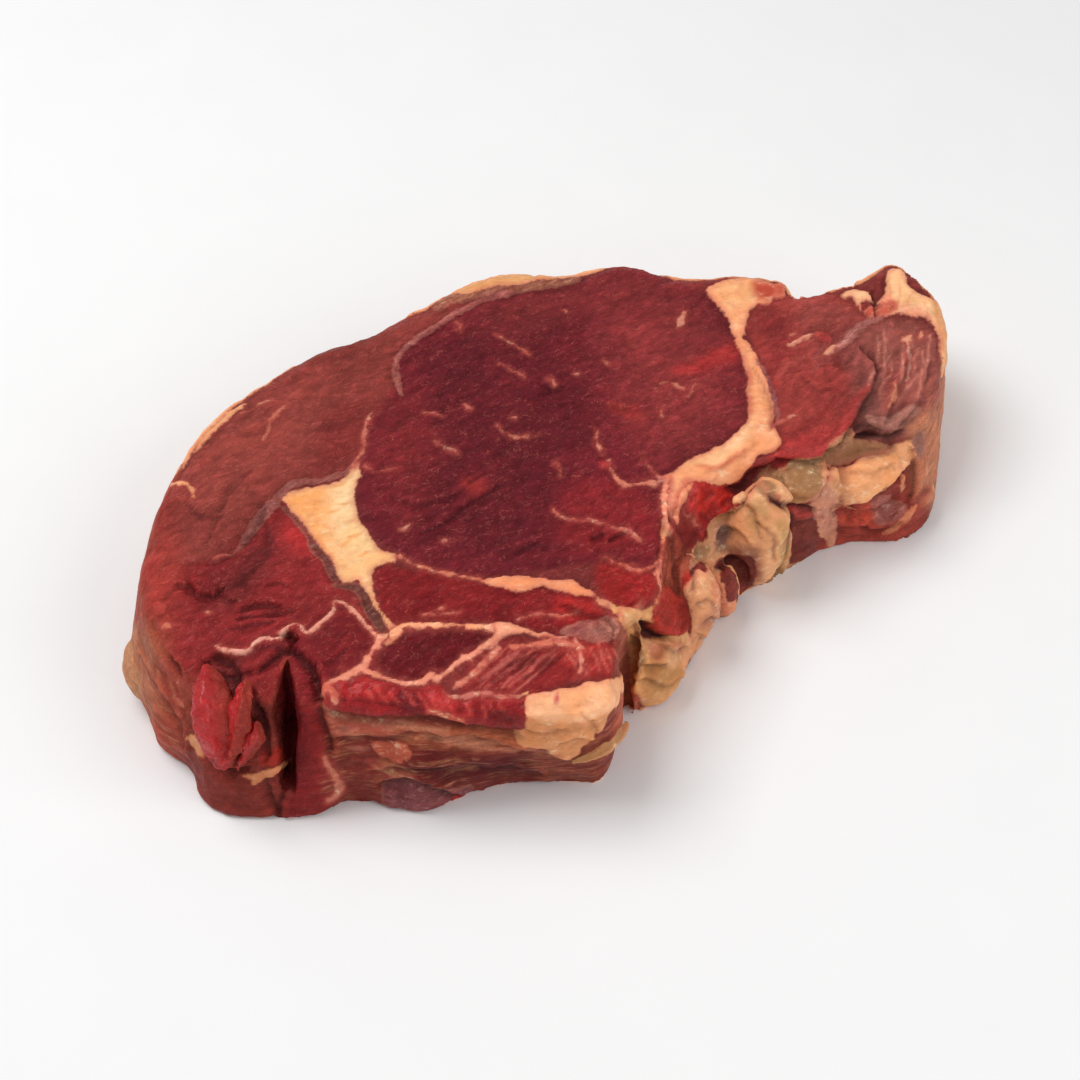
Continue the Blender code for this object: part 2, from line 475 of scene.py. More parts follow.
@dataclass(frozen=True)
class Mark:
    """One mark of tissue. Points with a third number are a line with that width, others an outline.

    A mark with a stain only tints the tissue that is already there, and fades over that many millimetres.
    A thin mark counts as no deeper than its thinness, so that what is under it shows through.
    """

    tissue: Tissue
    side: Side
    points: tuple
    tone: Rgb | None = None
    lift: float = 0.0
    blend: float = 0.8
    stain: float = 0.0
    thin: float = 9.0

    def depth(self, places: "Places", reach: float = 6.0) -> Array:
        """How far each point of the body is inside the mark, in millimetres, no less than -reach."""
        flat, edge = places.flat[self.side], places.edge[self.side]
        line = smooth_line(list(self.points), 4, len(self.points[0]) == 2)
        low, high = line[:, :2].min(axis=0) - reach, line[:, :2].max(axis=0) + reach
        near = np.all((flat > low) & (flat < high), axis=1) & (edge > -reach)
        depth = np.full(len(flat), -reach)
        inside = within_outline if line.shape[1] == 2 else within_line
        depth[near] = np.maximum(inside(flat[near], line), -reach)
        return np.minimum(np.minimum(depth, edge), self.thin)


@dataclass
class Places:
    """Where the body's points are, read in the ways that marks need.

    Marks of the cut faces are read from above, as x and y. Marks of the front are read square to a slope
    of 50 degrees, as x and the height up that slope, so that cut face, edge and wall run into each other.
    Marks of the back are read as x and height. A little raggedness is in every reading.
    """

    points: Array
    normals: Array
    overlap: float = 0.7
    steep: float = 0.62
    spread: float = 10.0
    facing_spread: float = 8.0
    front_overlap: float = 1.4
    front_under: float = 9.0
    back_overlap: float = 1.0
    back_from: float = -10.0
    slope: float = math.radians(50)
    ragged: tuple[float, float] = (0.50, 0.30)
    ragged_size: tuple[float, float] = (4.5, 1.25)
    flat: dict[Side, Array] = field(init=False)
    edge: dict[Side, Array] = field(init=False)
    wall: Array = field(init=False)

    def __post_init__(self) -> None:
        """Reads the points for each side, and how far each point is down the wall."""
        s, c = math.sin(self.slope), math.cos(self.slope)
        x, y, z = self.points.T
        facing = self.normals[:, 2] * s - self.normals[:, 1] * c
        under = self.normals[:, 2] < -self.steep
        rise = y * s + np.where(under, THICKNESS, z) * c
        shift = np.zeros((len(x), 2))
        for strength, size, seed in zip(self.ragged, self.ragged_size, (21, 22)):
            lattice = Lattice(seed)
            shift += strength * np.column_stack([lattice.at(self.points / size + k * 17.3) for k in (0, 1)])
        self.wall = (self.steep - np.abs(self.normals[:, 2])) * self.spread
        self.flat = {Side.CUT: self.points[:, :2] + shift, Side.SLOPE: np.column_stack((x, rise)) + shift,
                     Side.BACK: np.column_stack((x, z)) + shift}
        front = np.where(under, self.front_under, facing * self.facing_spread + self.front_overlap)
        behind = self.normals[:, 1] * self.facing_spread + self.back_overlap
        back = np.minimum.reduce([self.wall + self.overlap, behind, y - self.back_from])
        self.edge = {Side.CUT: self.overlap - self.wall, Side.SLOPE: front, Side.BACK: back}


def maker(tissue: Tissue, side: Side) -> Callable[..., Mark]:
    """What makes marks of one tissue on one side, from points, a display colour and how proud they stand."""

    def make(points: list, tone: tuple | None = None, lift: float = 0.0, **more) -> Mark:
        """One mark."""
        return Mark(tissue, side, tuple(points), tone and linear(*tone), lift, **more)

    return make


fat, seam, skin, lean, raw, film = (maker(Tissue(name), Side.SLOPE) for name in
                                    ("fat", "seam", "skin", "lean", "raw", "film"))
cut_fat, cut_seam, cut_skin, cut_lean = (maker(Tissue(name), Side.CUT) for name in
                                         ("fat", "seam", "skin", "lean"))
back_fat, back_seam, back_skin, back_lean, back_film = (maker(Tissue(name), Side.BACK) for name in
                                                        ("fat", "seam", "skin", "lean", "film"))
CREAM = (255, 205, 150)

# Tones of whole muscles and of parts of them, laid in this order: outline, tone, soft border
MUSCLE_TONES = [
    ("cap", [(-95, -20), (-66, -15), (-58, 1), (-42, 7), (-40, 24), (-33, 33), (-34, 44), (-24, 56), (-8, 66),
     (0, 80), (-60, 60), (-95, 20)], (134, 62, 54), 2),
    ("cap_middle", [(-80, 0), (-66, -6), (-60, 8), (-48, 14), (-50, 34), (-66, 30), (-78, 14)], (144, 70, 60),
     8),
    ("cap_edge", [(-52, 6), (-44, 9), (-41, 16), (-42, 28), (-50, 24)], (128, 52, 48), 4),
    ("blade", [(-90, -24), (-72, -19), (-60, -3), (-52, -12), (-44, -26), (-34, -44), (-46, -60), (-90, -64)],
     (134, 42, 43), 1.6),
    ("blade_dark", [(-64, -14), (-58, -8), (-58, -18), (-62, -27), (-70, -33), (-72, -24)], (118, 42, 42), 4),
    ("blade_left", [(-94, 4), (-86, 4), (-82, -10), (-80, -28), (-82, -48), (-96, -40)], (158, 62, 52), 5),
    ("blade_bright", [(-58, -8), (-52, -11), (-50, -16), (-56, -16)], (170, 50, 50), 2.5),
    ("lobe", [(-66, -42), (-50, -38), (-44, -31), (-36, -42), (-38, -52), (-48, -56), (-56, -44)],
     (118, 34, 38), 2),
    ("eye", [(-41, 8), (-40, 20), (-34, 32), (-34, 44), (-27, 53), (-14, 62), (4, 68), (20, 74), (36, 68),
     (45, 59), (48, 44), (48, 26), (42, 14), (28, 3), (27, -12), (26, -21), (14, -20), (-14, -24), (-31, -18),
     (-41, -6)], (110, 33, 42), 1.2),
    ("eye_middle", [(-30, 14), (-20, 50), (2, 58), (10, 30), (0, -18), (-24, -16)], (102, 31, 39), 9),
    ("eye_right", [(14, 60), (30, 66), (43, 56), (46, 36), (44, 18), (28, 8), (18, 30)], (140, 56, 56), 12),
    ("eye_left", [(-38, 6), (-37, 26), (-28, 30), (-24, 10), (-30, -10)], (120, 40, 43), 6),
    ("eye_top", [(-16, 60), (2, 67), (20, 73), (36, 67), (30, 58), (8, 56), (-6, 50)], (126, 48, 49), 7),
    ("eye_red", [(31, 38), (37, 42), (44, 47), (47, 50), (47.5, 42), (42, 40), (35, 36.5)], (162, 54, 52),
     1.6),
    ("eye_foot", [(8, 2), (24, 0), (26, -16), (14, -18), (4, -14)], (134, 40, 44), 4),
    ("below_eye", [(-35, -21), (-14, -26), (0, -27), (12, -31), (10, -40), (-10, -38), (-30, -38),
     (-36, -28)], (128, 33, 36), 1.2),
    ("below_eye_bright", [(4, -30), (12, -31), (14, -36), (6, -38)], (176, 48, 46), 2.5),
    ("corner_lobe", [(13, -21), (26, -23), (26, -31), (20, -35), (14, -31)], (158, 42, 40), 1.6),
    ("dark_strip", [(-30, -41), (-14, -40), (-10, -41), (-18, -50), (-28, -52), (-34, -48)], (108, 27, 33),
     1),
    ("stringy", [(-17, -52), (-8, -42), (4, -43), (14, -42), (17, -50), (8, -52), (-2, -57), (-12, -58)],
     (146, 44, 44), 1.5),
    ("stringy_bright", [(4, -43), (16, -43), (17, -50), (8, -50)], (176, 58, 52), 2.5),
    ("tail_lobe", [(50, 60), (64, 66), (74, 64), (84, 54), (74, 46), (68, 42), (76, 36), (72, 22), (62, 11),
     (54, 12), (56, 26), (52, 42)], (162, 70, 63), 1.4),
    # the tail lobe's lower rim: lighter, partly the muscle's own tone and partly painted sheen
    ("tail_lobe_rim", [(56, 18), (64, 20), (71, 24), (72, 17), (62, 10), (54, 12)], (164, 58, 54), 3),
    ("tail_lobe_back", [(64, 62), (74, 62), (82, 54), (76, 46), (68, 44), (62, 52)], (150, 74, 66), 4),
    ("tail_lobe_dark", [(53, 56), (60, 56), (60, 40), (54, 38)], (140, 54, 52), 5),
    ("tail_end", [(74, 50), (84, 56), (95, 54), (97, 36), (90, 22), (76, 20), (74, 34)], (140, 78, 70), 2.5),
    ("tail_end_grey", [(76, 34), (86, 42), (94, 36), (90, 22), (78, 22)], (132, 88, 78), 3.5),
]
# Tones of the walls, laid after the muscles: side, outline, tone, soft border
WALL_TONES = [
    (Side.SLOPE, [(-110, 90), (-110, -60), (110, -60), (110, 40), (60, 30), (18, -8), (-40, -12), (-80, 20)],
     (140, 62, 50), 2),
    (Side.SLOPE, [(-100, 20), (-100, -60), (-57, -60), (-56, -10)], (158, 76, 56), 3),
    (Side.SLOPE, [(-100, -8), (-100, -40), (-84, -26), (-82, -8)], (160, 100, 70), 4),
    (Side.SLOPE, [(-80, -33), (-80, -52), (-53, -52), (-54, -33), (-66, -36)], (126, 52, 42), 3.5),
    (Side.SLOPE, [(-76, -13), (-64, -13), (-57, -16), (-57, -36), (-66, -34), (-74, -24)], (142, 56, 48), 3),
    (Side.SLOPE, [(-62, -26), (-57, -24), (-55, -40), (-60, -38)], (112, 52, 42), 2.5),
    (Side.SLOPE, [(-53, -8), (-46, -8), (-44.6, -30), (-42, -48), (-56, -52), (-54, -30)], (132, 38, 37),
     1.5),
    (Side.SLOPE, [(-53, -8), (-50, -8), (-50, -36), (-54, -44)], (104, 26, 28), 1.5),
    (Side.SLOPE, [(-45, -24), (-20, -25), (0, -27), (18, -24), (18, -50), (-46, -50)], (120, 50, 40), 2.5),
    (Side.SLOPE, [(-26, -28.4), (-10, -28.8), (0, -30), (12, -31), (12, -34), (-4, -33.4), (-20, -32.6),
     (-28, -31)], (168, 98, 64), 1.8),
    (Side.SLOPE, [(-46, -25.6), (-36, -26.4), (-26, -26), (-26, -30), (-44, -30)], (156, 88, 66), 1.8),
    # painted shade: a dark red-brown band low on the front wall, under its overhang
    (Side.SLOPE, [(-27, -34.4), (-14, -34), (-2, -34.6), (6, -38), (0, -41), (-20, -42), (-32, -39)],
     (84, 22, 22), 2.5),
    (Side.SLOPE, [(-2, -33), (14, -32), (14, -42), (0, -42)], (124, 62, 46), 2),
    (Side.SLOPE, [(17, 0), (17, -28), (23, -28), (22, 0)], (190, 118, 92), 1.6),
    (Side.SLOPE, [(18, -20), (20, -21), (23, -23), (22, -30), (16, -30)], (176, 96, 66), 1.6),
    (Side.SLOPE, [(41, 9), (50, 9), (51, 1), (46, -5), (43, -3)], (116, 62, 52), 1.2),
    (Side.SLOPE, [(56, 21), (64, 20), (69, 9), (56, 4)], (124, 62, 52), 1.6),
    (Side.SLOPE, [(68, 18), (80, 21), (92, 22), (96, 10), (66, 6)], (154, 70, 56), 1.6),
    (Side.SLOPE, [(88, 46), (110, 60), (110, 10), (90, 22), (88, 36)], (184, 128, 92), 2.5),
    (Side.BACK, [(-110, 40), (-110, -5), (110, -5), (110, 40)], (146, 74, 58), 2),
    (Side.BACK, [(-90, 30), (-90, 6), (-40, 4), (-40, 30)], (134, 58, 50), 5),
]


def strands(first: tuple, last: tuple, count: int, tissue: Tissue, tone: tuple, width: float,
            **more) -> list[Mark]:
    """Uneven threads on the front, from one thread's ends (x, height, x, height) to the last one's."""
    marks = []
    for k in range(count):
        share = (k + 0.3 * math.sin(5.1 * k)) / (count - 1)
        x0, s0, x1, s1 = (a + (b - a) * share for a, b in zip(first, last))
        start, stop = 0.16 * (1 + math.sin(4.3 * k)), 1 - 0.16 * (1 + math.cos(3.7 * k))
        (x0, s0), (x1, s1) = ((x0 + (x1 - x0) * at, s0 + (s1 - s0) * at) for at in (start, stop))
        sway = 0.5 * math.sin(2.4 * k)
        near, far = 0.3 + 0.1 * math.sin(3.1 * k), 0.35 + 0.1 * math.cos(2.3 * k)
        middle = ((x0 + x1) / 2 + sway, (s0 + s1) / 2 - 0.4 * sway, width * (0.8 + 0.3 * math.cos(1.7 * k)))
        thread = ((x0, s0, near * width), middle, (x1, s1, far * width))
        marks.append(Mark(tissue, Side.SLOPE, thread, linear(*tone), 0.12, **more))
    return marks


MARKS = [
    # dried film and sinew over the walls
    film([(-44.6, -26), (-30, -26.6), (-16, -28.6), (-4, -29.6), (4, -30), (18, -22), (20, -30), (12, -44),
          (-20, -50), (-46, -50)]),
    film([(-104, 10), (-92, -6), (-86, -12), (-83, -24), (-78, -34), (-76, -48), (-104, -40)]),
    film([(90, 46), (96, 52), (110, 60), (110, 10), (94, 24), (90, 34)]),
    back_film([(-100, 32), (-40, 31), (0, 30), (60, 31), (104, 33), (104, 4), (40, 2), (-40, 3), (-100, 2)]),
    # fat of the cut face
    cut_fat([(-58.5, -1.5), (-57, 0.5), (-52, 1.8), (-46, 3.5), (-43.5, 6), (-41.5, 9.5), (-41, 5.5),
             (-42.2, 2), (-42, -3), (-41, -7), (-38.5, -11), (-36, -15), (-34.5, -17), (-32, -17.5),
             (-32, -20), (-35, -21), (-36.8, -23), (-36.5, -28), (-34.5, -33), (-32, -37), (-29.5, -39.5),
             (-32.5, -43), (-34.5, -41), (-37.5, -33), (-39.5, -27), (-40.5, -24.5), (-43, -24.8), (-45, -22),
             (-49, -16), (-51.5, -12), (-55, -6.5)], CREAM, -0.3),
    cut_fat([(-58, -2), (-50, 1), (-48, -8), (-45, -20), (-50, -16)], (252, 182, 116), stain=2),
    cut_fat([(-44, 7), (-40, 8), (-41, -4), (-36, -14), (-40, -20), (-44, -14), (-46, -4)], (255, 222, 170),
             stain=2),
    *[cut_fat([(x, y, 0.2), (x + 1.4, y + 0.2, 0.7), (x + 2.8, y + 1.2, 0.2)], (238, 172, 112), stain=0.5) for
               x, y in ((-47, 2), (-45.6, -3), (-47.6, -6), (-43.6, -8.4), (-42.8, -13), (-45, -14.6),
               (-40.6, -18))],
    cut_fat([(-13, -25), (-6, -24.3), (0, -24.7), (6, -25.2), (10, -28), (12.8, -30.8), (9.5, -30),
             (5, -28.4), (0, -26.9), (-4, -29.2), (-8, -28), (-12, -26.3)], (250, 168, 124), 0.2),
    fat([(41, 73), (46, 76), (52, 76), (60, 74.6), (60, 71.4), (57.6, 70.6), (56, 69.2), (52.6, 68.4),
         (51, 67), (50.2, 64.6), (49.4, 62), (48.8, 60.6), (50, 58.6), (51.6, 56), (53, 52.6), (54, 49),
         (54.6, 45), (54.8, 41), (54.2, 38.6), (55.4, 36.6), (56, 34.6), (54.6, 32.4), (52.6, 31.4),
         (50.4, 31), (48.6, 28.8), (46.6, 26.4), (44.4, 24.6), (41, 24.4), (38, 24.6), (35.4, 24.6),
         (33.8, 23.4), (32.4, 21.4), (31, 18.6), (30, 16.4), (29.2, 19), (29, 22), (27.8, 24.6), (27, 25.6),
         (28.6, 26.4), (30.6, 27), (32.4, 28.4), (34, 29.6), (35.6, 30.8), (38, 32), (40.6, 33), (42.6, 33.4),
         (44.4, 35.4), (46.4, 37.6), (48.4, 40), (49, 44), (49, 48), (48.6, 52), (47.8, 56), (46.8, 59),
         (46.4, 61.4), (46, 64), (45, 66.4), (43.4, 68.6)], (252, 178, 132), 0.35),
    fat([(44, 74), (52, 76), (52, 70), (47, 68), (47, 64)], (255, 196, 144), stain=2.5),
    fat([(53, 75), (61, 75), (60, 71), (56, 69.4), (53, 70.6)], (196, 84, 66), stain=1.8),
    fat([(48, 54, 1.6), (49, 48, 2.2), (49.2, 42, 1.6)], (200, 110, 86), stain=1.2),
    fat([(33, 29), (42, 32.6), (47, 38), (50, 40), (48, 35), (43, 30), (36, 28)], (255, 206, 158), stain=1.5),
    fat([(36, 28.2, 0.6), (40, 28.4, 1), (44, 29.6, 0.8), (47, 32, 0.4)], (220, 124, 94), stain=0.7),
    fat([(73.6, 71.3), (77, 73), (80.6, 72.8), (81.4, 70.2), (82.8, 70.4), (85, 73.5), (86, 77.5),
         (88.5, 78.8), (90, 76), (90.6, 73.5), (93, 72), (97, 70.5), (101, 66), (103, 60), (101, 56),
         (98.4, 53), (97, 51), (96.4, 57), (96.8, 60.5), (95.6, 63.6), (93.6, 65.4), (90.6, 65.4),
         (88.4, 66.4), (85, 66), (81, 65.2), (79, 66.8), (81, 68.4), (83.6, 68.8), (80, 69.8), (78, 69),
         (78.4, 67.4), (77, 69.4), (76.5, 70.6)], (255, 208, 160), 0.5),
    fat([(84, 68.4), (88, 69), (92, 68.4), (95.6, 66), (94, 64.6), (88, 65.4), (84, 66)], (248, 182, 146),
         stain=1),
    *strands((86.6, 75, 84.6, 67.4), (96, 70, 96, 62), 5, Tissue.FAT, (236, 164, 124), 0.5, stain=0.4),
    lean([(81.4, 73.4, 0.5), (82.2, 71.2, 0.9), (81.8, 69.2, 0.5)], (136, 60, 50), thin=0.3),
    fat([(97, 72), (104, 66), (104, 50), (97.6, 50), (98, 60), (96, 66)], (226, 168, 110), stain=1.5),
    fat([(83, 69), (86, 69), (85.6, 71.4), (83.6, 71.2)], (240, 150, 120), stain=1),
    cut_skin([(-26, 60), (-20, 62.4), (-12, 64.6), (-4, 66), (4, 68), (10, 71), (4, 76), (-12, 76),
              (-26, 70)], (150, 100, 78), 0.1),
    cut_fat([(-19, 65.2), (-13, 66.8), (-5, 68.2), (2, 70), (7, 73), (4, 78), (-10, 78), (-24, 70)],
             (226, 168, 112), 0.2),
    cut_fat([(-80, 14, 0.6), (-76.8, 20, 2), (-73.2, 25, 2.2), (-69.6, 28.4, 0.6)], (240, 180, 125)),
    cut_seam([(-84.5, 5, 1.4), (-82, 4.5, 1.4), (-79.8, 2.6, 1.1), (-78.8, -0.5, 0.5)], (225, 150, 110)),
    cut_seam([(33.5, 53.5, 0.4), (34.3, 56, 1.7), (35.3, 58.6, 0.6)], (205, 130, 112)),
    # silverskin
    cut_skin([(-66.8, -14.5, 0.6), (-64.8, -10, 1.5), (-61.8, -5, 2.1), (-59.4, -0.8, 1.6), (-57, 2.2, 1.2),
              (-51, 3.6, 0.9), (-45.5, 5.3, 1), (-42.8, 8, 0.8)], (140, 88, 84), 0.1),
    cut_skin([(-58.5, -3.6, 0.6), (-55, -7.4, 1), (-51.8, -11.8, 0.9), (-49.8, -15.5, 2.2), (-47, -20, 1.9),
              (-45, -23.6, 1.6)], (124, 78, 70), -0.9),
    cut_skin([(-44.5, -25.8, 1), (-40.8, -26.4, 2), (-38.1, -30, 2.2), (-35.8, -35, 2.6),
              (-33.6, -39.6, 2.4)], (120, 76, 66), -1.1),
    cut_skin([(-32.3, 30.5, 0.6), (-34, 36.5, 1.2), (-34.3, 42, 1), (-30.8, 48, 1), (-25.8, 53.5, 1.2),
              (-20.5, 58.2, 1.6), (-15, 62, 1.4), (-8, 65, 1)], (160, 96, 90), 0.15),
    skin([(51.6, 55, 0.3), (52.8, 52.4, 0.7), (54.2, 49, 0.8), (55.2, 45, 0.9), (55.6, 41.5, 0.7),
          (55.2, 39.4, 0.3)], (136, 86, 98), -0.3),
    # seams between muscles
    cut_seam([(-42.8, 8, 0.6), (-41.2, 12, 0.7), (-40.9, 17, 0.8), (-40.2, 21.5, 0.6), (-39.8, 25, 0.3)],
              (190, 110, 96)),
    cut_seam([(-70.3, -41.2, 0.4), (-68.6, -42.4, 1), (-65.5, -43, 1), (-62.4, -42.6, 1.1), (-61, -40.9, 0.9),
              (-59, -40.2, 1), (-56.8, -40.8, 0.9), (-55.6, -38.8, 0.8), (-54.4, -36.9, 0.8),
              (-52.4, -36.8, 0.8), (-51, -38.6, 0.8), (-50, -39.8, 0.9), (-48.2, -38, 1.4),
              (-46.2, -35.6, 0.9), (-45, -33.4, 0.8), (-44.6, -30.7, 0.7), (-42.4, -31.6, 0.7),
              (-40, -34.3, 1), (-37.6, -37.6, 0.8), (-35.6, -40.4, 0.8), (-34.6, -43.5, 1.4)],
              (226, 160, 144), 0.4),
    cut_seam([(-72.6, -18.8, 0.4), (-71, -17.2, 0.7), (-68.6, -16.8, 0.6), (-66.5, -14.6, 0.5)],
              (186, 96, 86), 0.3),
    seam([(-34, -9, 2.2), (-34.8, -11, 1), (-35.8, -13, 1), (-37.6, -15.6, 1.7), (-41.6, -17.4, 1.5),
          (-45.4, -19.8, 1.7), (-46.4, -21.6, 0.9)], (236, 152, 130), 0.3),
    seam([(-38, -16.4, 1.2), (-34, -17.4, 1.2), (-29, -18.8, 1.1), (-25, -18.6, 1), (-23.6, -17.4, 1.6),
          (-21.4, -17.6, 0.8), (-18.8, -15.6, 0.8), (-15.6, -13.6, 1.1), (-12.6, -11.8, 1), (-10, -10, 1.6)],
          (236, 152, 130), 0.3),
    seam([(-32, -8.8, 1.8), (-29.4, -7.1, 1.2), (-25, -6.7, 1.1), (-20, -6.9, 0.8), (-14, -6.7, 0.8),
          (-10.4, -7, 1.3)], (248, 174, 136), 0.3),
    fat([(-10.4, -6.6), (-8, -5.9), (-5, -6.1), (-3, -7.3), (0, -8.2), (3, -9), (6.4, -9.8), (3, -9.9),
         (0, -9.2), (-3, -8.5), (-5.4, -8.4), (-8, -9.2), (-10, -10.6), (-10.9, -9.8), (-9.7, -8.3)],
         (248, 176, 142), 0.3),
    seam([(28.9, 25, 1.4), (28.4, 21, 1.5), (28.6, 17, 1.4), (28.4, 12, 1), (27.4, 7.4, 0.9), (26.4, 5, 1),
          (26.4, 0, 0.6), (25.4, -3, 0.8)], (240, 148, 120), 0.25),
    seam([(26.8, 7, 0.9), (24.4, 5.6, 0.7), (21, 5.4, 0.5), (17.6, 6.2, 0.5), (14, 8, 0.4)], (206, 110, 94),
          0.1),
    seam([(12.4, -1.4, 0.7), (14.6, -2.4, 1.2), (17, -4.2, 1.4), (19, -6.6, 0.8)], (214, 140, 112), 0.3),
    cut_seam([(-31, -18.2, 0.6), (-27, -21.2, 0.7), (-22, -23.6, 0.6), (-13, -24.8, 0.5)], (206, 124, 100)),
    seam([(54.6, 38.4, 0.5), (57, 39.6, 0.6), (60, 41, 0.3)], (190, 104, 92)),
    cut_seam([(-26, -35.4, 0.2), (-21, -35.2, 0.4), (-17, -34.8, 0.2)], (190, 100, 88)),
    cut_seam([(-5, -36.2, 0.2), (0, -34.6, 0.4), (5, -35, 0.3), (8, -33, 0.2)], (190, 100, 88)),
    # flecks of marbling
    cut_seam([(-10.8, 50.4, 0.1), (-7, 47.6, 0.4), (-3.6, 44, 0.5), (-2.4, 42.6, 0.2)], (180, 100, 88)),
    cut_seam([(-10, 19.6, 0.1), (-8, 17.8, 0.3), (-6, 16, 0.9), (-3.6, 16.2, 0.5), (-0.6, 16.8, 0.1)],
              (186, 112, 96)),
    cut_seam([(12.6, 19, 0.1), (13.4, 15, 0.7), (14.5, 10.6, 0.2)], (196, 112, 98)),
    cut_seam([(15.8, 8.4, 0.5), (17, 4.6, 0.5), (19.4, 1.6, 1.5), (22, 2, 0.8), (26.5, 2.2, 1.2)],
              (216, 130, 110)),
    cut_seam([(24, 9.4, 0.1), (25.8, 6, 0.4), (27.4, 3, 1)], (190, 108, 98)),
    cut_seam([(3, -5.2, 0.2), (5.6, -7.6, 0.5), (9, -8.4, 0.2), (13, -9.2, 0.7), (16, -10.4, 0.4),
              (20, -11.6, 1.3), (22.4, -13.6, 0.2)], (190, 102, 92)),
    cut_seam([(28, 33.6, 0.1), (31, 34.2, 0.3), (33.6, 32.2, 0.9)], (190, 106, 94)),
    cut_seam([(34.6, 29.6, 0.1), (36.6, 33.4, 0.4), (37.2, 34.2, 0.1)], (182, 98, 88)),
    cut_seam([(-24.4, 15.6, 0.1), (-21, 13, 0.7), (-18.8, 11.2, 0.1)], (166, 90, 84)),
    cut_seam([(-40, 8, 0.2), (-37, 6.4, 0.3), (-32.4, 7, 0.1)], (170, 80, 76)),
    cut_seam([(-59.4, 28.6, 0.2), (-62, 24, 0.8), (-62.6, 20.6, 0.4), (-64, 16.4, 0.7)], (184, 104, 90)),
    cut_seam([(-70, 25.4, 0.1), (-64, 28.4, 0.3), (-60, 29, 0.1)], (176, 98, 84)),
    cut_seam([(-18, 26.6, 0.2), (-16.6, 25.6, 0.9), (-15.8, 24.8, 0.2)], (186, 108, 102)),
    cut_seam([(28.4, 22.8, 0.2), (28.2, 24.4, 0.7), (28.6, 26, 0.2)], (190, 112, 98)),
    *[cut_seam([(x, y, 0.1), (x + 0.5 * dx + 0.3, y + 0.5 * dy, width), (x + dx, y + dy, 0.1)],
                (190, 112, 98)) for x, y, dx, dy, width in ((-20.3, 55.4, 1, -4, 0.6),
                (-9.6, 40, 6, -4.6, 0.35), (2.2, 35.2, 1.4, -3, 0.7), (15, 41, 1.2, -0.8, 0.7),
                (8.4, 37.2, 0.8, -0.8, 0.6), (-7, 22.6, 0.8, -0.6, 0.8), (-31.4, -10.8, 2.2, 1, 0.6),
                (-21.8, -13.4, 0.8, -1, 0.7), (3.4, 8.4, 1.4, -4, 0.35), (-27, 24.8, 5, -2.2, 0.3),
                (5.6, 59, 0.8, -1, 0.5), (22, 48, 1, -1.4, 0.5), (-73, -32, 1.2, -0.8, 0.5),
                (-54, 40, 1.2, -1.6, 0.4), (60, 50, 1.4, 0.4, 0.5), (-22, -34, 1.2, 1, 0.4))],
    cut_lean([(-18, 2), (-14, 3.6), (-11.6, 1), (-15, -1.4)], (150, 50, 48), stain=2),
    cut_lean([(13.6, 7.6), (15, 8.4), (16, 7), (14.6, 6.2)], (180, 64, 62), stain=0.8),
    cut_lean([(16, 27), (22, 26), (24, 22), (18, 23)], (150, 54, 50), stain=2),
    # the stringy muscle at the corner
    *strands((-7, -10.8, -19, -19.6), (4.6, -11.2, -5.6, -20.6), 12, Tissue.LEAN, (206, 116, 102), 0.5,
             stain=0.42),
    *strands((-1, -12, -12, -19), (5, -12, -3, -19), 5, Tissue.LEAN, (100, 24, 28), 0.7, stain=0.6),
    *strands((4.6, -11, 9.4, -17.8), (15.6, -9.8, 17, -16.6), 7, Tissue.LEAN, (212, 122, 106), 0.5,
             stain=0.42),
    seam([(-9, -11.4, 1), (-11.4, -14, 1.2), (-15, -17.4, 0.8), (-18, -19.4, 0.3)], (216, 126, 108),
          thin=0.1),
    fat([(12.4, -5.6), (14.6, -5.4), (16.6, -6.2), (17, -8), (15.6, -9), (14.4, -7.4)], (222, 156, 138), 0.2),
    seam([(7.4, -10.2, 0.8), (8.8, -13.4, 1), (8.4, -16.8, 0.7)], (226, 140, 122), 0.2),
    seam([(-6, -11.6, 1.2), (-1, -10.8, 0.9), (3.6, -10.6, 1.2), (9, -11.4, 0.7)], (214, 118, 100), 0.2),
    seam([(-20.6, -20.8, 0.5), (-17.6, -21.4, 1.1), (-13, -20.6, 0.9), (-7.6, -21.2, 0.8),
          (-2.6, -20.8, 0.5)], (196, 110, 100), 0.2),
    skin([(4.4, -8), (6.6, -6.2), (10, -5.4), (13, -5.1), (16.4, -5.8), (17.2, -8), (15, -9.5), (11, -9.8),
          (8, -9.4), (5.6, -9)], (166, 116, 104), 0.2, thin=0.1),
    skin([(6, -8.4), (7.4, -6.6), (10, -6.4), (10, -8.6), (8, -9)], (112, 78, 82), stain=0.8),
    # wet raw meat
    raw([(-44.6, -19.8), (-42, -18.4), (-38, -17.8), (-34, -18.6), (-30, -19.6), (-27, -20), (-24, -19),
         (-21, -18.8), (-19, -21.4), (-14, -21.8), (-8, -22), (-2, -21.8), (-2, -26), (-3.6, -28.6),
         (-5.6, -29.2), (-9, -28.4), (-14, -27.2), (-19, -26.4), (-24, -25.4), (-29, -25.4), (-34, -26),
         (-40, -25.6), (-44, -24.4), (-45.6, -22.4)], (146, 36, 38), 0.35),
    raw([(-42, -19), (-36, -18.4), (-33, -20.4), (-37, -22), (-42, -21.4)], (160, 38, 38), stain=1.6),
    raw([(-24, -20), (-18, -22), (-17, -25), (-22, -25)], (186, 50, 50), stain=1.5),
    raw([(-30, -21), (-26, -21), (-25, -25), (-30, -25)], (118, 24, 30), stain=1.2),
    *strands((-37, -19.4, -34, -23), (-8, -22.6, -7, -26.6), 12, Tissue.LEAN, (206, 84, 74), 0.5, stain=0.5),
    raw([(-10, -25), (-4, -25), (-4, -28.6), (-9, -28.4)], (122, 34, 32), stain=1.2),
    seam([(-46, -20.4, 0.8), (-44, -20.6, 1.7), (-43.2, -22.6, 1.2)], (204, 106, 92), 0.3),
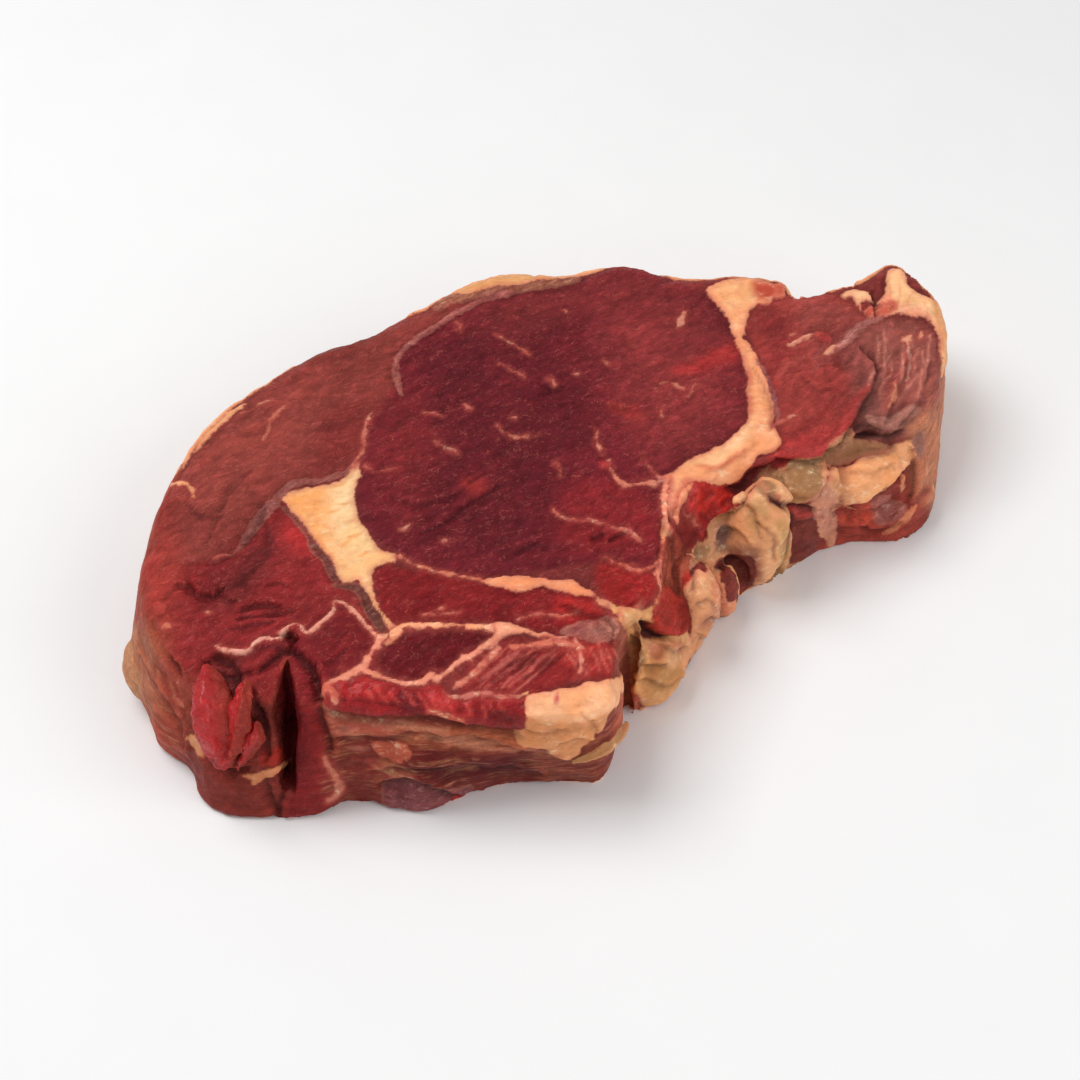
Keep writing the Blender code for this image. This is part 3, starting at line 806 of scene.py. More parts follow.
    seam([(-46, -23.4, 0.8), (-43.6, -25.6, 1.4), (-38, -27.4, 1.3), (-32, -27, 0.7)], (166, 96, 78), 0.3),
    seam([(-23.6, -24.4, 0.5), (-20.4, -25.6, 1.2), (-16, -26, 0.6)], (196, 92, 76), 0.3),
    *strands((-38, -27.2, -22, -27.8), (-22, -32.4, 0, -33.6), 7, Tissue.LEAN, (196, 142, 108), 0.5,
             stain=0.5),
    *strands((-44, -28, -37, -29), (-43, -33, -36, -34), 4, Tissue.LEAN, (190, 126, 104), 0.6, stain=0.6),
    # fat of the front wall
    fat([(-2.6, -21.6), (0, -20.8), (3, -20.6), (5, -20), (8, -19.6), (10, -18.6), (13, -18.4), (17.4, -18.2),
         (18, -20), (17, -22.4), (15.4, -24.2), (14.4, -25.8), (13.6, -28), (12, -29.6), (11, -31.4),
         (9, -33), (8, -35.6), (5, -36.2), (2, -34.8), (1.2, -33.2), (-2.6, -32.4), (-5, -30.8),
         (-5.8, -29.4), (-3.6, -28.2), (-2.8, -26), (-3.2, -23.8)], (255, 192, 146), 0.55),
    fat([(-8, -26.6), (-2.6, -25.4), (2, -26.6), (8, -26.4), (13, -25.2), (17, -25), (14, -38), (-8, -38)],
         (224, 156, 106), stain=0.5),
    fat([(3, -22.4), (3.8, -21.2), (4.4, -22), (3.8, -23)], (200, 88, 98), stain=0.5),
    fat([(-36.2, -33), (-35, -31.8), (-32, -31.3), (-28.6, -32.1), (-27.5, -34), (-28.8, -35.6), (-32, -36.3),
         (-35, -35.3)], (186, 86, 64), 0.3),
    seam([(-46.2, -35.6, 0.6), (-44.8, -38.4, 1.2), (-43.7, -41, 1.6), (-43.7, -43.4, 1.4),
          (-46, -45.6, 0.8)], (196, 118, 98), 0.4),
    seam([(-36.8, -37.2, 0.4), (-34, -38.6, 1), (-30.6, -39.6, 0.9), (-27.8, -40.6, 0.4)], (176, 110, 78),
          0.2),
    skin([(-33.6, -41.4), (-31.6, -40.2), (-28, -40.6), (-24, -41.8), (-20, -43), (-15, -43), (-18, -46),
          (-24, -48), (-28, -50), (-32.6, -50), (-34.4, -45)], (124, 72, 76), 0.2),
    fat([(-64.8, -39.8), (-62.6, -39.2), (-60.4, -38.4), (-58, -37.6), (-55, -36.4), (-54.6, -37.4),
         (-57.6, -39.8), (-60, -40.8), (-62, -41.8), (-62.8, -40.6)], (206, 136, 92), 0.4),
    lean([(-60, -33.4), (-56.4, -33), (-55.6, -36), (-58.4, -37.2), (-60.4, -36.6)], (166, 54, 42)),
    fat([(-79.6, -23, 0.5), (-78.6, -23.8, 1.2), (-77.6, -24.6, 0.4)], (222, 156, 120), 0.3),
    fat([(-77, -31.6, 0.6), (-75.2, -32.2, 2.2), (-74.2, -34.2, 1.6), (-73.4, -35.4, 0.5)], (214, 150, 108),
         0.3),
    seam([(-83, -7.2, 0.4), (-81.6, -7, 0.8), (-80.6, -7.2, 0.3)], (206, 120, 96), 0.2),
    lean([(-98, -7), (-92, -7), (-91, -12), (-90.4, -16), (-89, -19), (-90, -24), (-98, -24)], (178, 136, 96),
          stain=1.3),
    # painted light: a paler rose-red tint inside the slit that lifts its shade
    lean([(-54.6, -17, 0.4), (-54.2, -22, 2.4), (-54, -28, 3), (-54.4, -36, 1.2)], (176, 56, 66), stain=1),
    # painted shadow: darker red behind the tongues' upper ends
    lean([(-71, -12.8), (-66, -12), (-63.4, -15.6), (-64, -21), (-69, -20)], (104, 38, 38), stain=1.4),
    lean([(-61, -22), (-58, -23), (-57.4, -28), (-59, -34), (-61, -30)], (92, 36, 32), stain=1.6),
    *strands((-84, -15, -80, -27), (-78, -15, -76.6, -26), 3, Tissue.SEAM, (176, 96, 76), 0.8),
    # fat and lean of the chine side
    fat([(16.6, -4), (19, -3), (22, -3.6), (25, -3.2), (27, -7), (33, -9), (34.6, -12), (34, -15), (33, -19),
         (30, -24), (26, -27), (22.4, -24.4), (20.8, -22), (20.2, -18), (19.8, -12), (18.6, -8)],
         (228, 172, 116), 0.5),
    fat([(24, -12.4), (28, -11.6), (33, -12), (33, -15), (28, -16), (24.6, -15)], (200, 128, 96), stain=1.2),
    fat([(24, -18), (32, -16.6), (31, -21), (25, -23)], (196, 146, 96), stain=1.5),
    lean([(23.2, -6.6), (24.8, -7), (26, -8.8), (28, -9.8), (28, -10.6), (25, -11.2), (23.6, -9.4)],
          (112, 60, 50), -0.9),
    lean([(28, 12), (33, 13), (35, 11), (34, 8.8), (33.8, 4), (33, 0), (32.6, -2), (30, -2), (27.6, 0),
          (26.8, -2), (27, 4)], (142, 68, 50), 0.2),
    *strands((28.4, 11, 27.4, 0), (33.6, 11, 32.6, -1), 5, Tissue.LEAN, (176, 100, 74), 0.6, stain=0.5),
    lean([(28.6, 1), (30, -0.6), (32.6, -1.8), (33.8, -6), (33.2, -9), (31, -10), (28, -9.8), (25.4, -8.6),
          (24.4, -6), (25.4, -2.4), (26.8, 0.6)], (164, 54, 42), 0.6),
    lean([(32.6, 3.6), (33.6, 4), (34.4, 2), (33.8, -0.4), (32.6, 1)], (170, 50, 40), 0.3),
    fat([(32.8, 0.6), (34, 3), (35.6, 4.8), (37.4, 4), (39, 5.6), (41, 5), (41.8, 2.8), (43.6, 1), (46, -2),
         (45, -8), (40.6, -12), (36.4, -14), (33, -17), (33.6, -13), (34.4, -10), (34.2, -6), (33.4, -2.5)],
         (230, 168, 124), 0.5),
    fat([(38.8, 3), (42, 2), (44.6, -1), (45, -8), (40.6, -8), (39, -3)], (226, 146, 112), stain=0.8),
    fat([(34.2, 4.8), (36.4, 6.6), (38.6, 5.8), (40.6, 5.2), (41.6, 6.6), (43.6, 8), (46, 8.6), (49.2, 8),
         (50.6, 5), (50.6, 2), (52, -1), (57, 0), (60, 8), (58.2, 14), (57.6, 17.5), (56, 19.4), (52.5, 21.5),
         (51.5, 24.5), (54, 28.6), (51, 26.4), (49, 24.2), (47, 21.5), (45.5, 19.2), (43, 18.6), (40.5, 17.5),
         (39, 15.5), (38, 12), (36.5, 11.5), (34.8, 9.8)], (232, 174, 128), 0.5),
    fat([(40, 11), (41, 15), (43.6, 15.4), (44, 12), (42.4, 9)], (134, 98, 92), stain=1.4),
    fat([(43, 9), (46, 10.4), (50, 9.6), (51.6, 6), (52, 2), (50, 3)], (160, 112, 92), stain=1.3),
    fat([(54, 16), (58, 14), (60, 6), (57, 2), (55.4, 9)], (206, 160, 106), stain=1.6),
    fat([(47, 18), (50, 21), (52, 17), (49, 14)], (206, 160, 112), stain=1.2),
    fat([(36, -8), (41, -9.6), (43, -5), (39, -3.6)], (196, 136, 106), stain=1.4),
    fat([(20, -5), (22.4, -8), (23, -16), (20.4, -20), (20.6, -12)], (170, 120, 82), stain=1),
    fat([(28, -13), (32, -14), (30, -17), (27, -16)], (222, 170, 124), stain=0.8),
    *strands((72, 31, 83, 33), (74, 24, 86, 29), 6, Tissue.FAT, (252, 196, 150), 0.6, stain=0.6),
    *strands((54, 29, 62, 24), (60, 30.6, 66, 27), 4, Tissue.FAT, (204, 168, 124), 0.6, stain=0.7),
    fat([(35, 9), (37.6, 11), (39.6, 9.6), (38, 7), (35.4, 6)], (166, 124, 88), stain=1.2),
    raw([(33.4, 19), (33.8, 22.4), (35, 24.4), (38, 24.6), (42, 24), (44.6, 22.4), (45.4, 19.4), (43.4, 18.4),
         (40.8, 17.2), (39.2, 15.2), (38.2, 11.8), (36.6, 11.4), (35, 14)], (186, 50, 42), 0.7),
    raw([(34, 17), (38, 18), (41, 17), (38, 11), (35, 12)], (132, 34, 32), stain=2),
    seam([(34.2, 24, 0.8), (32.4, 21.4, 1.5), (31, 18.4, 1.2), (30.6, 15.4, 0.6)], (236, 146, 112), 0.4),
    lean([(31, 17), (33, 17.6), (35, 16), (36, 12), (35, 9.6), (33.4, 9.4), (31, 12)], (122, 42, 38)),
    seam([(32.4, 17.4, 0.4), (34, 16.4, 0.9), (35, 14.8, 0.3)], (198, 110, 92), 0.2),
    fat([(50.4, 23.6), (51, 26), (54, 27.6), (57, 28.8), (58.4, 30.2), (62, 30.8), (66, 31.9), (67.4, 31),
         (67.2, 28), (66.2, 25), (64.6, 22), (62, 20.4), (58, 20.3), (55, 20.6), (52, 21.6)], (166, 124, 86),
         0.9),
    fat([(58, 29.6), (66, 31.6), (67, 28), (62, 27.6)], (152, 120, 88), stain=1.6),
    fat([(62.4, 20), (64.8, 22.2), (66.8, 26), (68.6, 28), (70.6, 24.4), (71, 20), (71, 16), (71.4, 11),
         (70, 9.6), (68.6, 12), (66.8, 13), (65.2, 16), (63.4, 18.6)], (204, 146, 122), 0.3),
    *strands((63.6, 19.6, 65.6, 15), (70, 24, 70.6, 12), 5, Tissue.SKIN, (214, 168, 150), 0.5),
    fat([(66.6, 27.6), (70, 28.6), (73, 29), (76, 31), (79, 32), (83, 33), (86, 34.6), (88.5, 35), (89.4, 32),
         (88.4, 29.5), (86, 27.4), (84, 25.5), (82, 23), (79, 20.8), (77, 20), (74.5, 20.6), (71.5, 19.4),
         (70.6, 22), (68.6, 25)], (240, 174, 124), 0.7),
    fat([(66, 28), (72, 29), (72, 21), (68, 24)], (206, 146, 106), stain=1.6),
    fat([(65.8, 32.4), (68, 35), (71, 36.6), (74, 38), (74.4, 36), (77, 34.8), (82, 34.2), (84, 33.4),
         (80, 32), (76, 31), (72, 29.4), (67.4, 29)], (164, 122, 90), -0.4),
    lean([(74.2, 37.6), (76, 39.2), (79, 38.8), (81.4, 37.6), (80, 35.4), (77, 34.8), (75, 35.6)],
          (98, 58, 50), -0.8),
    raw([(71.6, 19.6), (75, 20.6), (78.4, 20), (80.4, 18.4), (79, 16), (75, 14.6), (71.6, 15.2), (71, 18)],
         (186, 80, 58), 0.3),
    skin([(79, 19.8), (82, 21.2), (86, 20.8), (88.4, 18), (84, 15.8), (80.4, 16.4)], (152, 96, 88), 0.4),
    fat([(83, 13, 0.5), (86, 14.6, 1.6), (89, 17.4, 1.8), (90.6, 19.6, 0.6)], (212, 134, 100), 0.4, thin=0.2),
    fat([(86, 27.6, 0.5), (86.6, 25.4, 1.4), (86.2, 23.4, 0.5)], (214, 146, 112), 0.4, thin=0.2),
    fat([(92.8, 30.4, 0.4), (93, 28.8, 1.3), (92.6, 27.4, 0.4)], (214, 146, 108), 0.4, thin=0.2),
    lean([(40.8, 5.4), (42.6, 7.7), (45, 8.4), (47.2, 7.2), (48.8, 4.9), (50, 2.4), (49.6, 0), (46.5, -2),
          (44, -3), (43.2, 0), (42.6, 2.6)], (122, 58, 48), -0.3),
    # the tail end's strands
    # lighter salmon band along the tail lobe's rounded rim: partly its own tone, partly painted sheen
    lean([(57, 33, 1.6), (63, 32.4, 2.4), (68, 35, 2.8), (72, 39.4, 2.8), (75, 44.6, 2.2), (78, 48, 1.2)],
          (168, 66, 62), stain=1.6),
    lean([(58, 36, 0.5), (62, 38, 1.4), (67, 42, 1.6), (70, 47, 0.6)], (140, 52, 48), stain=1.2),
    lean([(56, 50, 0.5), (60, 54, 1.6), (66, 57, 1)], (176, 84, 74), stain=1.2),
    lean([(57, 20, 0.6), (60, 17.6, 1.2), (63.6, 17.4, 0.6)], (188, 78, 70), stain=0.8),
    lean([(60, 27, 0.6), (62, 25, 1.2), (63, 22.4, 0.6)], (190, 100, 94), stain=1),
    skin([(77, 40.4), (80, 38.6), (83, 38), (86, 38.6), (89, 40.4), (91, 43), (88, 43.2), (85, 41.8),
          (82, 40.6), (79, 41)], (168, 122, 110), 0.5, thin=0.1),
    skin([(89.4, 36.8), (91.6, 37.4), (92, 34), (90.6, 31.4), (89, 33)], (136, 100, 92), 0.2),
    skin([(69.4, 56.4, 0.5), (71.6, 58, 1.1), (73.8, 60.2, 1.2), (76.4, 62.4, 1.4), (79.6, 64.4, 1.2),
          (83, 65.4, 0.8)], (170, 116, 110), 0.3),
    seam([(88.6, 59, 0.3), (88.9, 56, 1), (88.6, 53.6, 0.8), (87.6, 50, 0.3)], (186, 136, 124), 0.3,
          thin=0.1),
    seam([(84.6, 49, 0.3), (85, 46.6, 1.1), (83.8, 44.4, 0.8), (82.8, 43.4, 0.3)], (206, 134, 108), 0.3),
    seam([(87.4, 60.4, 0.4), (88.6, 60, 1.4), (89.8, 60.8, 0.6)], (228, 160, 136), 0.3),
    seam([(91.6, 60.2, 0.3), (92.4, 61.2, 1), (92.6, 62.4, 0.3)], (220, 150, 126), 0.3),
    seam([(60, 58.8, 0.4), (62.4, 59.6, 0.9), (65.4, 61.2, 0.9), (67, 61.6, 0.4)], (220, 150, 130), 0.3),
    raw([(66.6, 61.4), (68.6, 62.2), (70.4, 61), (69.8, 59.4), (67.6, 59.6)], (168, 64, 58), 0.4),
    seam([(68.4, 56.4, 0.4), (69.8, 57, 1.3), (70.8, 58.4, 0.5)], (224, 160, 134), 0.3),
    lean([(77, 60), (84, 64), (92, 63), (96, 58), (97, 46), (92, 43), (84, 43), (80, 42), (80, 50)],
          (156, 92, 80), stain=3),
    lean([(80, 56, 3), (84, 48, 4), (86, 44, 2)], (130, 68, 60), stain=2.5),
    *strands((82, 63, 80.4, 50), (95, 61, 92, 45), 8, Tissue.LEAN, (206, 146, 124), 0.5, stain=0.45),
    *strands((80, 54, 77, 46), (90, 52, 84, 43), 5, Tissue.LEAN, (190, 130, 112), 0.6, stain=0.6),
    *strands((70, 60, 63, 52), (78, 62, 74, 52), 5, Tissue.LEAN, (166, 92, 84), 0.7, stain=0.8),
    seam([(86, 68.4, 0.4), (83, 67.4, 1.6), (80, 66.6, 0.8)], (200, 96, 76), 0.2),
    # fat cap on the back wall
    back_fat([(106, 5), (94, 8), (84, 11), (78, 8), (72, 13), (66, 17), (60, 9), (50, 6), (40, 9), (34, 16),
              (26, 21), (16, 19), (8, 14), (-4, 12), (-14, 17), (-22, 23), (-34, 19), (-44, 23), (-54, 21),
              (-62, 14), (-72, 12), (-80, 16), (-88, 22), (-86, 28), (-82, 32), (-80, 38), (-67, 38),
              (-62, 33.5), (-50, 31), (-38, 32), (-26, 34), (-21, 38), (10, 38), (16, 33), (24, 30), (31, 33),
              (35, 38), (62, 38), (65, 31), (70, 31), (74, 38), (106, 38)], (240, 182, 134), 0.5),
    *[back_fat([(x, z, 2), (x + 7, z - 2, 5), (x + 15, z + 1, 2)], tone, stain=3) for x, z, tone in ((-84, 26,
                (224, 158, 108)), (-56, 27, (232, 156, 122)), (-18, 24, (214, 156, 108)), (18, 26,
                (228, 148, 118)), (42, 14, (222, 164, 114)), (76, 18, (234, 160, 124)))],
    *[back_lean([(x, z, 0.2), (x + 0.3 * w, z + slant, 1.5), (x + 0.7 * w, z + 0.4, 0.9), (x + w, z - slant,
                 0.1)], (160, 76, 62), -0.2, thin=0.25) for x, z, w, slant in ((-75, 21, 9, 1),
                 (-66, 26, 14, -1.6), (-44, 27, 17, 0.8), (-30, 23, 7, -0.6), (-9, 19, 8, 1.2),
                 (0, 27, 12, -1), (21, 25.6, 8, 1), (47, 15, 6, -1.4), (44, 24, 13, 1.6), (80, 24, 11, -1),
                 (86, 16, 7, 1.2))],
    *[back_seam([(x, z, 0.2), (x + 5, z - 0.6, 0.7), (x + 11, z + slant, 0.2)], (214, 138, 112), 0.2) for x,
                 z, slant in ((-70, 8, 1), (-50, 18, -1), (-36, 6, 0.6), (-14, 9, 1.4), (6, 6, -0.8),
                 (22, 15, 2), (40, 4, 0), (64, 8, -1), (84, 5, 0.6))],
    back_skin([(-60, 6, 1), (-44, 9, 3), (-26, 8, 4), (-8, 6, 3), (10, 8, 1)], (132, 82, 88), 0.2, thin=0.1),
    back_seam([(-52, 15, 0.6), (-40, 12, 1), (-28, 13, 1.2), (-20, 16, 0.8)], (206, 130, 108), 0.3),
    back_seam([(14, 12, 0.8), (24, 9, 1.2), (34, 8, 0.8)], (206, 130, 108), 0.3),
]


@dataclass(frozen=True)
class Crease:
    """A pit, fold or groove pressed into the body: a line with widths, its depth and the lip beside it.

    Its left side, along its line, falls steeply under the lip, and its right side rises slowly.
    """

    side: Side
    points: tuple
    depth: float
    lip: float = 0.15
    shade: float = 0.5
    steep: float = 0.45
    slow: float = 1.5


CREASES = {
    Side.CUT: [
        # pits and folds of the blade muscle
        ([(-77.4, -24.4, 0.6), (-76.4, -26.4, 1.2), (-74.4, -28.4, 1.4), (-72, -28.4, 1.1),
          (-70.8, -26.8, 0.5)], 1.5, 0.5, 0.4),
        ([(-75, -25, 0.5), (-73.6, -26.6, 1), (-71.6, -26.4, 0.8), (-70.8, -25.4, 0.4)], 0.9, 0.4, 0.35),
        ([(-80.6, -24.6, 0.4), (-78.6, -25.2, 1), (-77.2, -24.8, 0.5)], 0.8, 0.2, 0.35),
        ([(-83, -29, 0.4), (-81.6, -26.6, 0.8), (-79.6, -25.4, 0.4)], 0.5, 0.2, 0.2),
        ([(-64.8, -32.8, 0.6), (-62, -31.6, 1.5), (-58.6, -31.7, 1.2), (-56.4, -31.6, 0.5)], 1.1, 0.4, 0.45),
        ([(-65, -34.8, 0.4), (-61, -34.2, 0.9), (-57, -33.4, 0.8), (-54.6, -32.4, 0.4)], 0.8, 0.3, 0.4),
        ([(-66.6, -37, 0.4), (-62, -36.6, 0.9), (-58.4, -35.8, 0.5)], 0.7, 0.3, 0.4),
        ([(-60, -26.4, 0.3), (-57.6, -25.8, 0.7), (-55.8, -26.4, 0.3)], 0.5, 0.2, 0.3),
        ([(-70.4, -28.4, 0.3), (-68.4, -29.8, 0.8), (-66.6, -30, 0.4)], 0.5, 0.2, 0.3),
        ([(-62, -5.4, 1), (-64.6, -11, 2), (-67.6, -16.4, 1.4), (-72, -19.8, 0.8)], 0.8, 0.2, 0.35),
        ([(-55.8, -39, 0.6), (-54.4, -38.8, 1), (-53.6, -39.2, 0.5)], 1.2, 0.3, 0.8),
        ([(-53.2, -40, 0.7), (-52.5, -41, 1.4), (-52.8, -42, 0.6)], 2.4, 0.4, 1),
        ([(-70.4, -43.4, 0.6), (-65.5, -44.4, 1.3), (-61, -42.8, 1.2), (-56.4, -42.2, 0.9),
          (-54.4, -38.4, 0.4)], 0.6, 0.1, 0.3),
        ([(-60, -47.6, 0.6), (-57, -44.6, 1.6), (-54.4, -43, 2.2), (-51.4, -45, 1.6), (-47.6, -51, 1.2),
          (-46.4, -57, 0.6)], 1.2, 0.3, 0.7),
        ([(-72.6, -44.4, 0.5), (-70.2, -47.2, 1.2), (-66, -48.6, 1.6), (-62.4, -48, 0.8)], 0.9, 0.3, 0.6),
        ([(-79.6, -42.4, 0.4), (-78, -45, 1), (-77, -47.8, 0.5)], 0.8, 0.3, 0.5),
        ([(-61.4, -8.6, 0.6), (-60.4, -16, 3), (-65, -24, 3.4), (-68.6, -28, 0.8)], 0.5, 0, 0.3),
        ([(-80, -2.6, 0.3), (-77, -6, 0.9), (-73, -7.4, 0.5), (-70.4, -7.2, 0.3)], 0.35, 0.15, 0.3),
        ([(-66, 6, 0.4), (-70, 0, 0.9), (-72.6, -8, 0.8), (-74, -14, 0.4)], 0.35, 0.2, 0.25),
        ([(-46, -47, 0.4), (-43.4, -46, 0.7), (-41.6, -43.4, 0.4)], 0.4, 0.3, 0.2),
        # the eye's own grooves
        ([(-26, -11.6, 0.4), (-20.4, -8, 0.9), (-15, -3, 0.9), (-9, 1.6, 0.4)], 0.55, 0.2, 0.35),
        ([(-34, -1.6, 0.3), (-27, -4, 0.8), (-20, -1.4, 0.8), (-14, 4.4, 0.4)], 0.35, 0.15, 0.25),
        ([(1, 32.6, 0.8), (2.6, 31, 2), (4.6, 32.4, 0.8)], 0.5, 0.1, 0.4),
        ([(11.8, -13.4, 0.4), (13.2, -12.4, 0.9), (14, -12, 0.4)], 0.8, 0.25, 0.5),
        ([(15.6, -14.2, 0.4), (17.4, -12.8, 0.9), (19.4, -11.8, 0.4)], 0.9, 0.25, 0.5),
        ([(-5, -17, 0.4), (-1.6, -15, 1), (1, -15.6, 0.4)], 0.4, 0.1, 0.4),
        ([(-3.6, 29, 0.2), (4, 26.4, 0.6), (12, 27, 0.6), (22, 25, 0.3)], 0.2, 0.15, 0.1),
        ([(50.5, 39, 0.4), (53, 33, 0.8), (54.4, 26, 0.8), (53.8, 19.6, 0.4)], 0.5, 0.15, 0.35),
        ([(38, 6.4, 0.3), (42, 8.2, 0.9), (46.6, 11.6, 0.9), (50, 15.6, 0.4)], 0.4, 0.15, 0.1),
        ([(30.6, -5, 0.5), (30.6, -10, 1.6), (30, -17, 2), (28.6, -24, 1.2)], 0.9, 0.2, 0.35),
        ([(5, -31.6, 0.4), (9, -33.6, 1.2), (14, -36, 1.6), (17.6, -40, 0.8)], 0.8, 0.2, 0.45),
    ],
    Side.SLOPE: [
        # the tail's folds
        ([(56, 30.4, 0.5), (61.4, 29.9, 0.9), (65.6, 31.2, 1.2), (69.6, 33.2, 1.2), (73, 37.4, 1.2),
          (75.6, 41.6, 1.2), (77.6, 45, 1.2), (80, 49.3, 1), (79.8, 54, 0.8), (77, 58, 0.5)], 0.9, 0.45, 0.5),
        ([(56.6, 26, 0.3), (58.6, 22.6, 0.7), (62, 21.4, 0.7), (65.4, 24, 0.3)], 0.35, 0.2, 0.2),
        ([(62, 50, 0.3), (66, 47, 0.8), (70.6, 48.4, 0.3)], 0.4, 0.2, 0.2),
        ([(81.8, 39.4, 0.4), (84, 44, 0.9), (86.6, 50, 0.8), (89, 57, 0.4)], 0.5, 0.4, 0.2),
        ([(85.6, 39, 0.4), (89, 42.4, 0.9), (92, 48, 0.8), (93.4, 54, 0.4)], 0.5, 0.4, 0.2),
        ([(81.2, 66, 0.3), (81.6, 69.6, 0.8), (81.4, 72.8, 0.4)], 0.8, 0.2, 0.6),
        # the walls' folds
        ([(-45, -24.6, 0.6), (-36, -26.4, 1.2), (-24, -26.4, 1.3), (-12, -28.4, 1.2), (-5, -29.6, 0.6)], 0.9,
          0.1, 0.3),
        ([(-48, -15, 0.4), (-47, -19, 1), (-46, -26, 1), (-44.6, -34, 0.6)], 1, 0.3, 0.5),
        ([(-45, -31, 0.4), (-36, -30.6, 0.8), (-26, -29.8, 0.9), (-14, -30.8, 0.8), (-4, -33, 0.5)], 0.5, 0.3,
          0.25),
        ([(-36, -38.6, 0.4), (-26, -37.6, 1.2), (-12, -38, 1.4), (0, -39.4, 0.7)], 0.5, 0.3, 0.35),
        ([(-34.6, -41.6, 0.5), (-30, -41, 1.2), (-24, -42, 1.2), (-18, -44.8, 0.5)], 0.9, 0.2, 0.5),
        ([(-89, -14, 0.4), (-84, -20, 0.9), (-79.6, -28, 0.9), (-78, -34, 0.4)], 0.5, 0.4, 0.15),
        ([(-74, -25, 0.6), (-72.6, -32, 1.2), (-69.6, -37.4, 1.2), (-66.4, -38.6, 0.8), (-63.6, -37.4, 0.4)],
          1, 0.2, 0.5),
        ([(-72, -14, 0.6), (-68.6, -13.6, 1.4), (-65, -16, 1.6), (-64.6, -20, 0.8)], 1.2, 0.1, 0.45),
        ([(-54.6, -38, 0.5), (-55.4, -43, 0.7), (-56.6, -48, 0.7), (-56.8, -54, 1)], 0.9, 0.1, 0.4),
        ([(-3, -28.4, 0.3), (1, -29.4, 0.7), (5, -28.2, 0.4)], 0.4, 0.2, 0.25),
        ([(4, -32, 0.3), (7.6, -30.8, 0.8), (11, -31, 0.4)], 0.4, 0.2, 0.25),
        ([(9, -25, 0.3), (11.4, -27.6, 0.7), (12, -29.4, 0.3)], 0.4, 0.2, 0.25),
        ([(-59.6, -24, 0.5), (-58, -30, 1), (-58.6, -35, 0.6)], 0.7, 0.2, 0.4),
        ([(-58.6, -42, 0.4), (-58, -46, 0.9), (-57, -49, 0.5)], 0.6, 0.2, 0.4),
        ([(23.2, -6.4, 0.8), (24.4, -8.4, 2), (26.8, -10, 1.2), (28.6, -10.2, 0.5)], 2.2, 0.2, 0.9),
        ([(22.6, -16.2, 0.4), (25, -16.8, 0.8), (28, -16.4, 0.5)], 0.9, 0.3, 0.5),
        ([(37.6, -6.8, 0.4), (39.2, -6.4, 0.8), (40.8, -6.9, 0.4)], 0.7, 0.2, 0.5),
        ([(20, -9, 0.3), (22, -12, 0.8), (22.4, -17, 0.4)], 0.6, 0.2, 0.4),
        ([(27, -12, 0.3), (30, -13.6, 0.8), (32.8, -12.8, 0.4)], 0.6, 0.2, 0.4),
        ([(21, -20, 0.4), (24, -19.6, 0.9), (28, -21.4, 0.9), (31, -20, 0.4)], 0.6, 0.2, 0.3),
        ([(35, -3, 0.3), (37.4, -2, 0.8), (39, -3.6, 0.4)], 0.5, 0.2, 0.4),
        ([(36, -9.4, 0.3), (38.6, -11.4, 0.9), (42, -10.4, 0.4)], 0.5, 0.2, 0.4),
        ([(50, 15.6, 0.3), (53, 12.6, 0.9), (54.6, 8, 0.4)], 0.6, 0.2, 0.3),
        ([(46.4, 20, 0.3), (49, 17, 0.9), (50.6, 13, 0.4)], 0.5, 0.2, 0.3),
        ([(73, 27.4, 0.3), (78, 27, 0.9), (83, 29.4, 0.4)], 0.4, 0.2, 0.25),
        ([(34.2, 0, 0.4), (34.4, 4.6, 0.9), (36, 9.8, 0.9), (38.8, 14.6, 0.5)], 0.8, 0.3, 0.4),
        ([(28, 16, 0.4), (29.6, 11, 0.9), (30.6, 5, 0.8), (31.4, 0, 0.4)], 0.6, 0.3, 0.3),
        ([(40.8, 5, 0.5), (42.8, 6.8, 1), (45, 7.4, 1), (47.2, 6, 0.9), (48.8, 3, 0.6)], 1.2, 0.2, 0.6),
        ([(43.4, 23.6, 0.5), (46.4, 24, 1.2), (49, 26.6, 1.6), (53, 28.4, 1.2), (55.4, 29.8, 0.5)], 1.3, 0.1,
          0.6),
        ([(39.8, 16.2, 0.4), (42.2, 17.2, 0.7), (45.6, 18.8, 0.6), (46.4, 22, 0.4)], 0.8, 0.3, 0.5),
        ([(40.6, 12, 0.4), (42.4, 14, 1), (45, 13.6, 0.9), (48, 11.6, 0.5)], 0.6, 0.3, 0.3),
        ([(52.4, 22, 0.4), (54, 20.6, 0.9), (57, 19.8, 1.2), (60.8, 19.4, 0.9), (63.2, 19.2, 0.5)], 1.4, 0.1,
          0.7),
        ([(58.6, 17, 0.5), (58.4, 10, 1.2), (57, 3, 1.2), (55, -2, 0.6)], 1.2, 0.1, 0.6),
        ([(66.4, 32.8, 0.4), (68.4, 33, 1), (70.4, 33.6, 0.5)], 0.9, 0.2, 0.6),
        ([(75.4, 36, 0.6), (78, 36.4, 1.8), (80.4, 35.8, 1), (83.4, 36.4, 1.6), (85.4, 37.6, 0.5)], 1.4, 0.2,
          0.7),
        ([(70.8, 18, 0.5), (75.6, 19.2, 1.2), (80, 22, 1.2), (84.4, 26, 1), (87, 28.6, 0.5)], 1.1, 0.2, 0.5),
        ([(78, 14.6, 0.4), (82, 13.8, 1.1), (87, 15.4, 0.6)], 0.7, 0.3, 0.4),
        ([(88.6, 33.4, 0.5), (89.6, 27, 1.2), (89, 22, 0.6)], 0.7, 0.3, 0.35),
    ],
    Side.BACK: [
        ([(-62, 30, 0.5), (-56, 24, 1.2), (-50, 21, 0.5)], 0.5, 0.3, 0.15),
        ([(-28, 30, 0.5), (-22, 25, 1.4), (-16, 17, 0.6)], 0.6, 0.3, 0.2),
        ([(-2, 34, 0.4), (2, 26, 1), (4, 15, 0.5)], 0.4, 0.2, 0.15),
        ([(78, 33, 0.4), (84, 27, 1.2), (94, 24, 0.5)], 0.5, 0.3, 0.15),
